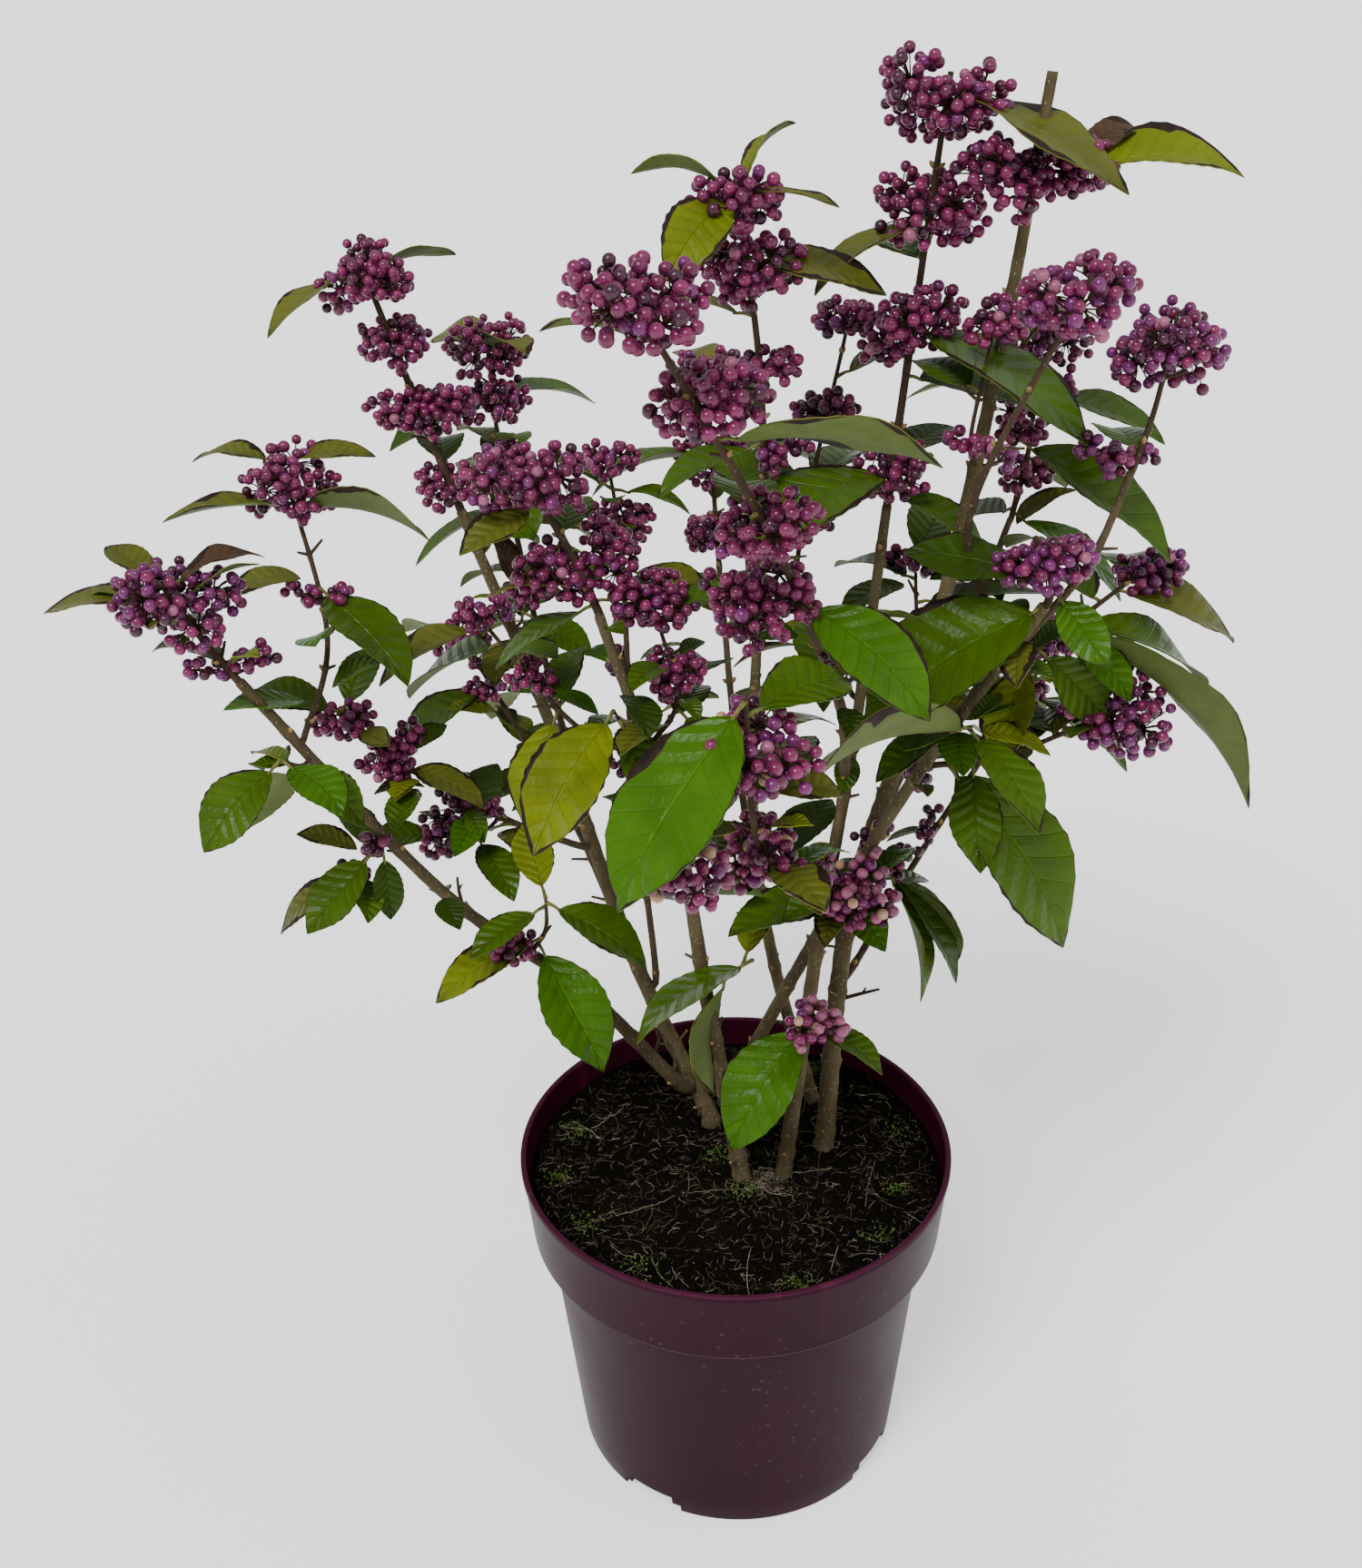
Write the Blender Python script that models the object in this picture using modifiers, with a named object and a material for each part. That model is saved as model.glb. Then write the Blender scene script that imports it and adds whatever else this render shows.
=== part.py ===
# Potted profusion beautyberry: a berried shrub of several stems in a plastic nursery pot.
# Metres, +Z up. The origin is at the centre of the pot's flat underside, and the plant is seen
# from its front when looking along +Y. Tables are in millimetres and degrees.
import itertools
import math
import random

import bmesh
import bpy
from mathutils import Matrix, Vector
from mathutils.bvhtree import BVHTree

NAME = "potted_beautyberry"
MM = 0.001
SEED = 20

# Pot: a three-litre nursery pot with a collar, a rolled lip and slots at the foot of its wall.
POT_HEIGHT = 155.0
RIM_RADIUS = 95.0
COLLAR_HEIGHT = 37.0
COLLAR_FOOT_RADIUS = 91.3
SHOULDER_RADIUS = 84.3
BASE_RADIUS = 73.3
WALL = 1.8
LIP = 3.4
LIP_STANDS_OUT = 0.7
EDGE_ROUNDING = 0.8
FLOOR = 2.4
POT_STEPS = 36
SLOT_COUNT = 4
SLOT_TURN = -124.0
SLOT_WIDTH = 30.0
SLOT_HEIGHT = 8.0
SLOT_DEPTH = 9.0

# Soil: fills the pot to a little under the rim, with its lower corner rounded off.
SOIL_TOP = 142.0
SOIL_CROWN = 1.2
SOIL_LEVEL_RADIUS = 62.5
SOIL_EDGE_GAP = 1.0
SOIL_CHAMFER = 13.0
SOIL_STEPS = 28

# Every node stays this far from its neighbours, and a piece is kept only where it has this much room.
GAP = 0.35
ROOM = 0.5

# Limbs: the foot flares, and a side limb or a shoot starts square to what carries it, for this
# share of its diameter.
FLARE = 1.3
FLARE_HEIGHT = 4.0
FLARE_LEFT = 0.4
STEM_POINTS = 8
BOUGH_POINTS = 6
TWIG_POINTS = 6
SQUARE_START = 0.9
BEND_REACH = 0.35
TWIG_TAPER = 0.6
WELD = 0.001

# Leaf: share of its length for the widest width, the arch over its chord and the lift of its edges.
LEAF_WIDTH = 0.56
LEAF_ARCH = 0.07
LEAF_FOLD = 0.06
LEAF_THICK = 1.2
LEAF_ROOT = 1.7
LEAF_STATIONS = ((0.34, 0.92), (0.7, 0.72))
LEAF_RIB = 0.42
LEAF_TURNS = (0, 14, -14, 28, -28)
LEAF_RISES = (0, -12, 12)
LAST_LEAF = 0.985

# Fruit: a bunch is a core with berries standing out of it; a small one is only a few berries.
SMALL_BUNCH = 18.0
LARGE_BUNCH = 30.0
CORE_SHARE = 0.66
BERRY_SHARE = 0.4
SMALL_BERRY_SHARE = 0.6
BERRY_COUNTS = {"small": 3, "middle": 4, "large": 6}
STALK_DIAMETER = 1.5
STALK_RISE = 18.0
# Shares of its faces that a joined bunch or mass may keep, least first, and the solvers for its union:
# the short edges along the seams go, and the first pair that leaves a closed body is taken.
BUNCH_SHARES = (0.32, 0.4, 0.5, 0.65, 1.0)
MASS_SHARES = (0.68, 0.8, 0.9, 1.0)
SOLVERS = ("EXACT", "MANIFOLD")
GOLDEN_ANGLE = math.pi * (3 - math.sqrt(5))

# Stems from the soil: foot (x, y), guide points, tip, diameter above the flare and at the tip.
STEMS = {
    "left_tall_stem": ((-11, 33), [(-43, 60, 212), (-80, 108, 313)], (-116, 140, 402), 7.4, 4.8),
    "front_left_stem": ((2, -6), [(-12, -2, 237), (-23, 2, 314)], (-51, 25, 398), 7.6, 4.2),
    "centre_stem": ((22, -4), [(35, 8, 248), (52, 34, 345)], (63, 48, 432), 7.2, 3.9),
    "back_centre_stem": ((37, 47), [(19, 51, 220), (10, 46, 300)], (14, 40, 440), 6.2, 3.6),
    "cut_stem": ((41, 13), [(51, 29, 257), (78, 36, 358), (101, 44, 480)], (116, 50, 590), 8.8, 4.0),
    "right_leaning_stem": ((-2, 44), [(34, 31, 236), (69, 1, 330)], (112, -24, 418), 6.2, 4.6),
}

# Boughs: carrying limb, height on it, guide points, tip, diameter at the start and at the tip.
BOUGHS = {
    "left_arching_bough": ("left_tall_stem", 163, [(-66, 26, 221), (-122, 18, 278)], (-192, 14, 378), 6.4, 4.2),
    "near_bough": ("centre_stem", 322, [(42, -8, 368)], (24, -56, 430), 4.8, 3.9),
    "front_bough": ("centre_stem", 290, [(26, -40, 316)], (10, -90, 350), 3.6, 2.8),
    "inner_left_bough": ("left_tall_stem", 262, [(-98, 72, 281)], (-128, 62, 306), 3.4, 2.7),
    "thin_back_bough": ("left_tall_stem", 205, [(-42, 96, 285)], (-44, 128, 372), 3.2, 2.6),
    "right_outer_bough": ("right_leaning_stem", 398, [(130, -10, 428)], (148, 10, 457), 3.4, 2.8),
    "rear_left_bough": ("left_tall_stem", 285, [(-84, 142, 334)], (-98, 182, 388), 3.6, 2.7),
    "rear_centre_bough": ("back_centre_stem", 240, [(6, 92, 292)], (0, 142, 362), 3.8, 2.8),
    "rear_right_bough": ("cut_stem", 300, [(96, 74, 348)], (124, 108, 404), 4.0, 2.8),
    "right_rear_low_bough": ("cut_stem", 226, [(84, 62, 262)], (118, 88, 304), 3.4, 2.6),
    "left_rear_low_bough": ("left_tall_stem", 222, [(-70, 108, 256)], (-98, 142, 292), 3.4, 2.6),
}

# Shoots, each one mass: carrying limb, height on it (None for its tip), tip of the shoot and its
# diameter, then fruit as (place, width) or (place, width, heading, stalk, rise), and leaves as
# (place, heading, rise, length). A place runs from 0 at the shoot's foot to 1 at its tip, and a
# heading is counted from +X towards +Y.
SHOOTS = {
    "left_arching_tip": (
        "left_arching_bough", None, (-216, 15, 418), 3.4,
        [(0.1, 16, 200, 10), (0.1, 16, 20, 10), (0.78, 42)],
        [(0.9, 175, -8, 52), (1.0, 140, 15, 36), (1.0, 25, 10, 40)]),
    "upright_left_shoot": (
        "left_arching_bough", 350, (-180, 80, 448), 2.8,
        [(0.52, 15, 180, 8), (0.52, 15, 10, 8), (0.9, 34)],
        [(1.0, 170, 2, 38), (1.0, 10, 2, 38), (0.84, 195, 0, 52), (0.84, -20, -5, 62), (0.56, -42, -25, 60)]),
    "left_bough_outer_spray": (
        "left_arching_bough", 344, (-176, -3, 352), 2.0,
        [],
        [(1.0, -140, -35, 46), (1.0, -45, -12, 40), (0.6, 165, -50, 42)]),
    "left_bough_underside_shoot": (
        "left_arching_bough", 303, (-160, 26, 282), 2.0,
        [(0.96, 17)],
        [(1.0, 190, -35, 42), (0.4, 120, 12, 40), (0.3, -140, -35, 44), (0.15, -70, -70, 32)]),
    "low_left_shoot": (
        "left_arching_bough", 243, (-78, 14, 276), 2.4,
        [(0.15, 22, 195, 13)],
        [(1.0, 110, 30, 38), (0.86, -140, -10, 40), (0.92, -20, -25, 50), (0.3, 205, -15, 52), (0.2, -45, -50, 62)]),
    "left_tall_tip": (
        "left_tall_stem", None, (-153, 160, 507), 4.2,
        [(0.12, 26), (0.38, 27, 190, 10), (0.4, 27, 15, 10), (0.7, 30), (0.94, 38)],
        [(1.0, -145, -25, 52), (1.0, 35, 0, 46), (0.2, 95, 5, 46)]),
    "left_tall_side_spray": (
        "left_tall_stem", 352, (-92, 136, 362), 1.8,
        [],
        [(1.0, 140, 60, 38), (1.0, 60, 10, 46), (0.6, -30, -20, 40)]),
    "inner_left_tip": (
        "inner_left_bough", None, (-164, 60, 342), 2.6,
        [(0.4, 23, -140, 6), (0.55, 23, 40, 7), (0.98, 24)],
        [(1.0, 165, 10, 42), (1.0, 70, 25, 40), (0.35, -20, -20, 42)]),
    "inner_left_side_shoot": (
        "inner_left_bough", 284, (-124, 60, 280), 2.0,
        [(1.0, 24)],
        [(0.7, 70, 25, 42), (0.5, -60, -20, 40), (0.9, 190, 0, 40)]),
    "upper_left_shoot": (
        "front_left_stem", 344, (-106, 82, 376), 2.8,
        [(0.66, 19), (0.97, 23)],
        [(0.95, 195, -25, 52), (0.85, 155, -35, 60), (0.5, -130, -58, 52), (0.5, 80, 15, 44)]),
    "front_left_tip": (
        "front_left_stem", None, (-82, 37, 457), 3.8,
        [(0.2, 30, 185, 15), (0.22, 27, 60, 16), (0.9, 42)],
        [(0.72, -140, -15, 40), (0.5, 90, 5, 44), (0.1, 30, -10, 46), (0.08, -160, -20, 46)]),
    "front_left_shoulder_shoot": (
        "front_left_stem", 350, (-30, 30, 400), 2.4,
        [(0.5, 24), (1.0, 31)],
        [(0.9, 20, 10, 44), (0.45, 70, -10, 48), (0.3, -40, -30, 48)]),
    "front_left_leaf_spray": (
        "front_left_stem", 350, (-46, 2, 368), 2.2,
        [],
        [(1.0, -125, -35, 66), (0.8, -50, -50, 44)]),
    "thin_back_tip": (
        "thin_back_bough", None, (-50, 132, 431), 2.4,
        [(0.4, 28), (0.92, 24)],
        [(0.7, 0, -15, 36), (0.1, 175, -10, 46), (0.1, -10, -15, 46), (0.7, 150, 15, 38)]),
    "near_tip": (
        "near_bough", None, (-31, -101, 547), 3.4,
        [(0.04, 35, 195, 18), (0.36, 30), (0.7, 34, 60, 5), (0.98, 37)],
        [(0.64, 0, -4, 70), (0.1, -38, -28, 60), (0.02, 30, -25, 44), (0.9, 165, 5, 36), (0.4, 100, 0, 44)]),
    "back_centre_tip": (
        "back_centre_stem", None, (3, 14, 561), 3.2,
        [(0.15, 21, 10, 7), (0.42, 21, 10, 6), (0.74, 33), (0.96, 31)],
        [(1.0, 160, 10, 38), (1.0, 50, 32, 36), (0.98, -15, -8, 36), (0.97, -130, -30, 46),
         (0.78, 0, -15, 52), (0.66, 55, 5, 46), (0.6, 165, 5, 46), (0.3, 100, -5, 50), (0.2, 200, -20, 46)]),
    "cut_stem_left_shoot": (
        "cut_stem", 452, (98, 30, 508), 2.0,
        [(0.25, 15, 200, 4), (1.0, 23)],
        [(0.6, 120, 5, 40)]),
    "centre_tip": (
        "centre_stem", None, (81, 56, 590), 3.6,
        [(0.12, 26), (0.46, 37), (0.72, 36), (0.95, 42)],
        [(0.7, -150, -20, 56), (0.97, -30, -25, 76), (0.46, -35, -25, 82), (0.34, 20, -20, 66),
         (0.12, -140, -10, 80), (0.08, -15, -35, 54), (0.14, 50, 5, 44), (0.6, 100, 0, 54)]),
    "centre_back_shoot": (
        "centre_stem", 356, (50, 82, 500), 2.6,
        [(0.5, 23), (0.76, 25), (0.97, 22)],
        [(0.85, 20, 15, 46), (0.6, 150, 0, 46), (0.6, 60, 0, 50), (0.3, 100, -20, 50)]),
    "cut_stem_top_left_fruit": (
        "cut_stem", 556, (98, 41, 556), 2.0, [(1.0, 31)], []),
    "cut_stem_top_right_fruit": (
        "cut_stem", 553, (125, 50, 556), 2.2,
        [(0.9, 30)],
        [(1.0, 0, 2, 64), (1.0, 40, 14, 46)]),
    "cut_stem_right_shoot": (
        "cut_stem", 450, (114, 47, 460), 2.0,
        [(1.0, 17)],
        [(0.9, -20, -35, 76), (0.8, 60, 0, 48)]),
    "cut_stem_rear_shoot": (
        "cut_stem", 372, (80, 82, 398), 2.2,
        [(1.0, 23)],
        [(0.6, 10, 0, 58), (0.8, 130, -5, 48), (1.0, 70, 10, 46)]),
    "cut_stem_low_rear_shoot": (
        "cut_stem", 322, (102, 66, 352), 2.2,
        [(1.0, 22), (0.4, 16)],
        [(0.9, 30, -25, 56), (0.7, 120, -20, 50)]),
    "right_leaning_tip": (
        "right_leaning_stem", None, (107, -22, 444), 3.4,
        [(0.66, 31)],
        [(0.4, 165, 8, 54), (0.1, 182, -38, 84), (0.3, -60, -30, 36)]),
    "right_upright_shoot": (
        "right_leaning_stem", 402, (117, -33, 537), 3.2,
        [(0.5, 14, 60, 9), (0.92, 34)],
        []),
    "right_outer_tip": (
        "right_outer_bough", None, (161, 19, 513), 2.6,
        [(0.03, 14, 60, 9), (0.05, 18, 160, 12), (0.76, 39)],
        [(0.15, 95, -5, 44)]),
    "right_side_shoot": (
        "right_leaning_stem", 388, (170, 50, 404), 2.8,
        [(0.4, 17), (1.0, 26)],
        [(0.5, -20, -35, 100), (0.56, 10, -30, 70), (0.8, 15, -28, 64), (0.25, -120, -55, 46),
         (0.3, -5, -45, 42), (0.45, -40, -30, 38), (0.9, 80, -10, 54), (0.7, 110, -5, 50)]),
    "right_low_shoot": (
        "right_leaning_stem", 344, (153, 12, 358), 2.8,
        [(0.96, 40)],
        [(0.7, 100, -15, 46), (0.12, -30, -52, 88), (0.25, -90, -40, 46), (0.5, 80, 0, 48)]),
    "right_stem_leaf_spray": (
        "right_leaning_stem", 368, (88, -28, 372), 2.0,
        [],
        [(1.0, -145, 6, 84), (0.8, -60, -25, 50)]),
    "low_right_shoot": (
        "cut_stem", 274, (66, 18, 284), 2.2,
        [(0.9, 14)],
        [(1.0, -60, -62, 58), (1.0, -20, -58, 60), (0.9, 10, -55, 60)]),
    "low_centre_shoot": (
        "centre_stem", 276, (49, -3, 287), 2.2,
        [(1.0, 32)],
        [(0.25, -150, -2, 52), (0.2, 175, -20, 40)]),
    "low_front_shoot": (
        "centre_stem", 222, (32, -16, 230), 2.2,
        [(1.0, 24)],
        [(0.35, -140, -45, 64), (0.8, -30, -20, 36)]),
    "front_stem_low_spray": (
        "front_left_stem", 246, (8, -6, 256), 2.2,
        [],
        [(1.0, -150, -15, 60), (0.75, 65, 35, 34), (0.4, -125, -72, 54)]),
    "front_tip": (
        "front_bough", None, (0, -120, 432), 2.8,
        [(0.2, 27), (0.7, 38), (0.04, 26, -122, 62, 24)],
        [(0.96, -140, -40, 76), (0.9, 40, 0, 48), (0.5, 60, 10, 46), (0.1, 120, -10, 48)]),
    "rear_left_tip": (
        "rear_left_bough", None, (-106, 204, 462), 2.8,
        [(0.3, 24), (0.66, 30), (0.96, 34)],
        [(1.0, 120, -5, 50), (1.0, -60, 5, 44), (0.7, 30, -10, 56), (0.66, 200, -15, 54),
         (0.35, 110, -20, 60), (0.3, -70, -25, 52), (0.05, 180, -30, 56), (0.05, 20, -30, 54)]),
    "rear_centre_tip": (
        "rear_centre_bough", None, (-4, 176, 452), 2.8,
        [(0.3, 26), (0.62, 30), (0.95, 36)],
        [(1.0, 100, 5, 48), (1.0, -80, 10, 40), (0.66, 10, -10, 60), (0.64, 190, -12, 58),
         (0.34, 80, -22, 64), (0.08, 150, -32, 58), (0.08, 20, -30, 60)]),
    "rear_right_tip": (
        "rear_right_bough", None, (134, 126, 482), 2.8,
        [(0.3, 24), (0.64, 32), (0.95, 36)],
        [(1.0, 70, 0, 48), (1.0, -110, 10, 42), (0.68, 160, -5, 56), (0.66, -20, -12, 58),
         (0.34, 60, -22, 62), (0.08, 120, -30, 58), (0.06, -30, -32, 60)]),
    "right_rear_low_tip": (
        "right_rear_low_bough", None, (150, 106, 350), 2.6,
        [(0.5, 20), (0.96, 28)],
        [(1.0, 30, -10, 54), (0.9, 120, -10, 50), (0.5, -20, -30, 58), (0.1, 70, -35, 60)]),
    "left_rear_low_tip": (
        "left_rear_low_bough", None, (-124, 164, 330), 2.6,
        [(0.5, 20), (0.96, 27)],
        [(1.0, 130, -10, 52), (0.95, 50, -5, 48), (0.5, 200, -28, 56), (0.4, 100, -35, 58), (0.05, 10, -30, 50)]),
}

COLOURS = {
    "pot": ((0.055, 0.016, 0.032), 0.38),
    "potting_soil": ((0.012, 0.009, 0.007), 0.95),
    "stem": ((0.16, 0.115, 0.075), 0.8),
    "bough": ((0.13, 0.09, 0.06), 0.8),
    "shoot": ((0.12, 0.2, 0.03), 0.55),
}

# What carries a shoot, as a path with the limb's radius at each point.
limbs = {}
# Search trees of the finished nodes, by name.
solids = {}


def vec(values):
    return Vector(values) * MM


def heading_vector(heading, rise):
    flat = math.cos(math.radians(rise))
    return Vector((flat * math.cos(math.radians(heading)), flat * math.sin(math.radians(heading)),
                   math.sin(math.radians(rise))))


def clear_scene():
    for thing in list(bpy.data.objects):
        bpy.data.objects.remove(thing, do_unlink=True)


def new_collection(name):
    group = bpy.data.collections.new(name)
    bpy.context.scene.collection.children.link(group)
    return group


def new_material(name, kind):
    colour, roughness = COLOURS[kind]
    material = bpy.data.materials.new(name)
    material.use_nodes = True
    shader = material.node_tree.nodes["Principled BSDF"]
    shader.inputs["Base Color"].default_value = (*colour, 1.0)
    shader.inputs["Roughness"].default_value = roughness
    shader.inputs["Metallic"].default_value = 0.0
    return material


def new_object(name, data, group):
    thing = bpy.data.objects.new(name, data)
    group.objects.link(thing)
    return thing


def evaluated_mesh(thing):
    depsgraph = bpy.context.evaluated_depsgraph_get()
    depsgraph.update()
    return bpy.data.meshes.new_from_object(thing.evaluated_get(depsgraph))


def search_tree(mesh, swell=0.0):
    points = [vertex.co + vertex.normal * swell for vertex in mesh.vertices]
    return BVHTree.FromPolygons(points, [tuple(face.vertices) for face in mesh.polygons])


def has_room(mesh, shoot):
    """Whether a piece of a shoot stays clear of every other node."""
    swollen = search_tree(mesh, ROOM * MM)
    return not any(swollen.overlap(tree) for name, tree in solids.items() if name != shoot)


def mesh_from(name, fill):
    shape = bmesh.new()
    fill(shape)
    bmesh.ops.recalc_face_normals(shape, faces=shape.faces)
    mesh = bpy.data.meshes.new(name)
    shape.to_mesh(mesh)
    shape.free()
    return mesh


# Paths

def smooth_path(points, count):
    """A curve through the points, sampled at even steps of its length."""
    ends = [points[0] * 2 - points[1], *points, points[-1] * 2 - points[-2]]
    dense = []
    steps = 24
    for index in range(1, len(ends) - 2):
        before, start, end, after = ends[index - 1:index + 3]
        for step in range(steps):
            t = step / steps
            dense.append(0.5 * (2 * start + (end - before) * t + (2 * before - 5 * start + 4 * end - after) * t ** 2
                                + (3 * start - before - 3 * end + after) * t ** 3))
    dense.append(points[-1])
    return [along(dense, index / (count - 1)) for index in range(count)]


def along(path, place):
    """The point at a share of the path's length."""
    lengths = [(path[index + 1] - path[index]).length for index in range(len(path) - 1)]
    left = place * sum(lengths)
    for index, length in enumerate(lengths):
        if left <= length:
            return path[index].lerp(path[index + 1], left / length)
        left -= length
    return path[-1].copy()


def at_height(limb, height):
    """The point, direction and radius of a limb at a height."""
    path, radii = limb
    for index in range(len(path) - 1):
        low, high = path[index].z, path[index + 1].z
        if low <= height <= high and high > low:
            share = (height - low) / (high - low)
            direction = (path[index + 1] - path[index]).normalized()
            return path[index].lerp(path[index + 1], share), direction, radii[index]
    raise ValueError("no such height on the limb")


def side_start(limb, height, target):
    """Where a limb or shoot leaves its carrier: the start and the direction square to the carrier."""
    point, direction, radius = at_height(limb, height * MM)
    outward = target - point
    outward = (outward - direction * outward.dot(direction)).normalized()
    return point + outward * (radius + GAP * MM), outward


def bent_path(start, direction, guides, tip, count, diameter):
    """A path that leaves along a direction, and then runs through the guides to the tip."""
    lead = start + direction * SQUARE_START * diameter * MM
    if not guides:
        handle = lead + direction * (tip - lead).length * BEND_REACH
        guides = [lead.lerp(handle, 0.5).lerp(handle.lerp(tip, 0.5), 0.5)]
    return [start, *smooth_path([lead, *guides, tip], count - 1)]


def tube(name, path, radii, group, resolution):
    curve = bpy.data.curves.new(name, "CURVE")
    curve.dimensions = "3D"
    curve.bevel_depth = MM
    curve.bevel_resolution = resolution
    curve.use_fill_caps = True
    spline = curve.splines.new("POLY")
    spline.points.add(len(path) - 1)
    for spot, point, radius in zip(spline.points, path, radii):
        spot.co = (*point, 1.0)
        spot.radius = radius / MM
    return new_object(name, curve, group)


def tube_mesh(name, path, radii, group, resolution):
    """A tube as a closed mesh, for joining."""
    curve = tube(name, path, radii, group, resolution)
    mesh = evaluated_mesh(curve)
    bpy.data.objects.remove(curve, do_unlink=True)
    shape = bmesh.new()
    shape.from_mesh(mesh)
    bmesh.ops.remove_doubles(shape, verts=shape.verts, dist=WELD * MM)
    bmesh.ops.recalc_face_normals(shape, faces=shape.faces)
    shape.to_mesh(mesh)
    shape.free()
    mesh.update()
    return mesh


def taper(first, last, count):
    return [(first + (last - first) * index / (count - 1)) * MM / 2 for index in range(count)]


# Pot and soil

def turned(name, profile, steps, group):
    mesh = bpy.data.meshes.new(name)
    points = [(radius * MM, 0.0, height * MM) for radius, height in profile]
    mesh.from_pydata(points, [(index, index + 1) for index in range(len(points) - 1)], [])
    thing = new_object(name, mesh, group)
    screw = thing.modifiers.new("turn", "SCREW")
    screw.steps = steps
    screw.render_steps = steps
    screw.use_merge_vertices = True
    screw.merge_threshold = 10 * WELD * MM
    return thing


def inner_radius(height):
    """The pot wall's inner radius under the collar."""
    share = height / (POT_HEIGHT - COLLAR_HEIGHT)
    return BASE_RADIUS + (SHOULDER_RADIUS - BASE_RADIUS) * share - WALL


def build_pot(group, cutters):
    shoulder = POT_HEIGHT - COLLAR_HEIGHT
    profile = [
        (0, FLOOR), (inner_radius(FLOOR), FLOOR), (inner_radius(shoulder), shoulder - WALL / 2),
        (COLLAR_FOOT_RADIUS - WALL, shoulder + WALL), (RIM_RADIUS - LIP_STANDS_OUT - WALL, POT_HEIGHT - LIP),
        (RIM_RADIUS - LIP_STANDS_OUT - WALL, POT_HEIGHT - EDGE_ROUNDING),
        (RIM_RADIUS - LIP_STANDS_OUT - WALL + EDGE_ROUNDING, POT_HEIGHT),
        (RIM_RADIUS - EDGE_ROUNDING, POT_HEIGHT), (RIM_RADIUS, POT_HEIGHT - EDGE_ROUNDING),
        (RIM_RADIUS, POT_HEIGHT - LIP + EDGE_ROUNDING), (RIM_RADIUS - LIP_STANDS_OUT, POT_HEIGHT - LIP),
        (COLLAR_FOOT_RADIUS, shoulder + EDGE_ROUNDING), (COLLAR_FOOT_RADIUS - EDGE_ROUNDING, shoulder),
        (SHOULDER_RADIUS, shoulder - WALL), (BASE_RADIUS, EDGE_ROUNDING), (BASE_RADIUS - EDGE_ROUNDING, 0), (0, 0),
    ]
    pot = turned("pot", profile, POT_STEPS, group)
    for index in range(SLOT_COUNT):
        angle = math.radians(SLOT_TURN + index * 360 / SLOT_COUNT)
        bpy.ops.mesh.primitive_cube_add(size=1.0)
        slot = bpy.context.active_object
        slot.name = f"pot_slot_{index + 1}"
        slot.scale = (2 * SLOT_DEPTH * MM, SLOT_WIDTH * MM, 2 * SLOT_HEIGHT * MM)
        slot.location = (BASE_RADIUS * MM * math.cos(angle), BASE_RADIUS * MM * math.sin(angle), 0)
        slot.rotation_euler = (0, 0, angle)
        slot.hide_render = True
        slot.display_type = "WIRE"
        for owner in list(slot.users_collection):
            owner.objects.unlink(slot)
        cutters.objects.link(slot)
    cut = pot.modifiers.new("slots", "BOOLEAN")
    cut.operand_type = "COLLECTION"
    cut.collection = cutters
    cut.solver = "EXACT"
    return pot


def build_soil(group):
    shoulder = POT_HEIGHT - COLLAR_HEIGHT
    low = FLOOR + GAP
    wide = COLLAR_FOOT_RADIUS - WALL - GAP
    slope = (RIM_RADIUS - LIP_STANDS_OUT - COLLAR_FOOT_RADIUS) / COLLAR_HEIGHT
    profile = [
        (0, SOIL_TOP), (SOIL_LEVEL_RADIUS, SOIL_TOP),
        (wide + slope * (SOIL_TOP - shoulder) - SOIL_EDGE_GAP, SOIL_TOP - SOIL_CROWN),
        (wide, shoulder + WALL + GAP), (inner_radius(shoulder) - GAP, shoulder - WALL / 2),
        (inner_radius(SOIL_CHAMFER) - GAP, SOIL_CHAMFER), (inner_radius(low) - SOIL_CHAMFER, low), (0, low),
    ]
    return turned("potting_soil", profile, SOIL_STEPS, group)


# Stems and boughs

def finish_limb(name, path, radii, group, resolution, kind):
    limb = tube(name, path, radii, group, resolution)
    limb.data.materials.append(new_material(name, kind))
    limbs[name] = (path, radii)
    mesh = evaluated_mesh(limb)
    solids[name] = search_tree(mesh)
    bpy.data.meshes.remove(mesh)


def build_stem(name, foot, guides, tip, foot_diameter, tip_diameter, group):
    start = Vector((foot[0], foot[1], SOIL_TOP + GAP)) * MM
    lead = start + Vector((0, 0, FLARE_HEIGHT * MM))
    path = [start, *smooth_path([lead, *map(vec, guides), vec(tip)], STEM_POINTS)]
    radii = [foot_diameter * FLARE * MM / 2, *taper(foot_diameter, tip_diameter, STEM_POINTS)]
    radii[1] *= 1 + (FLARE - 1) * FLARE_LEFT
    finish_limb(name, path, radii, group, 2, "stem")


def build_bough(name, carrier, height, guides, tip, first_diameter, tip_diameter, group):
    guides = [vec(guide) for guide in guides]
    start, outward = side_start(limbs[carrier], height, guides[0])
    path = bent_path(start, outward, guides, vec(tip), BOUGH_POINTS, first_diameter)
    finish_limb(name, path, taper(first_diameter, tip_diameter, BOUGH_POINTS), group, 1, "bough")


# Leaves and fruit

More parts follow.
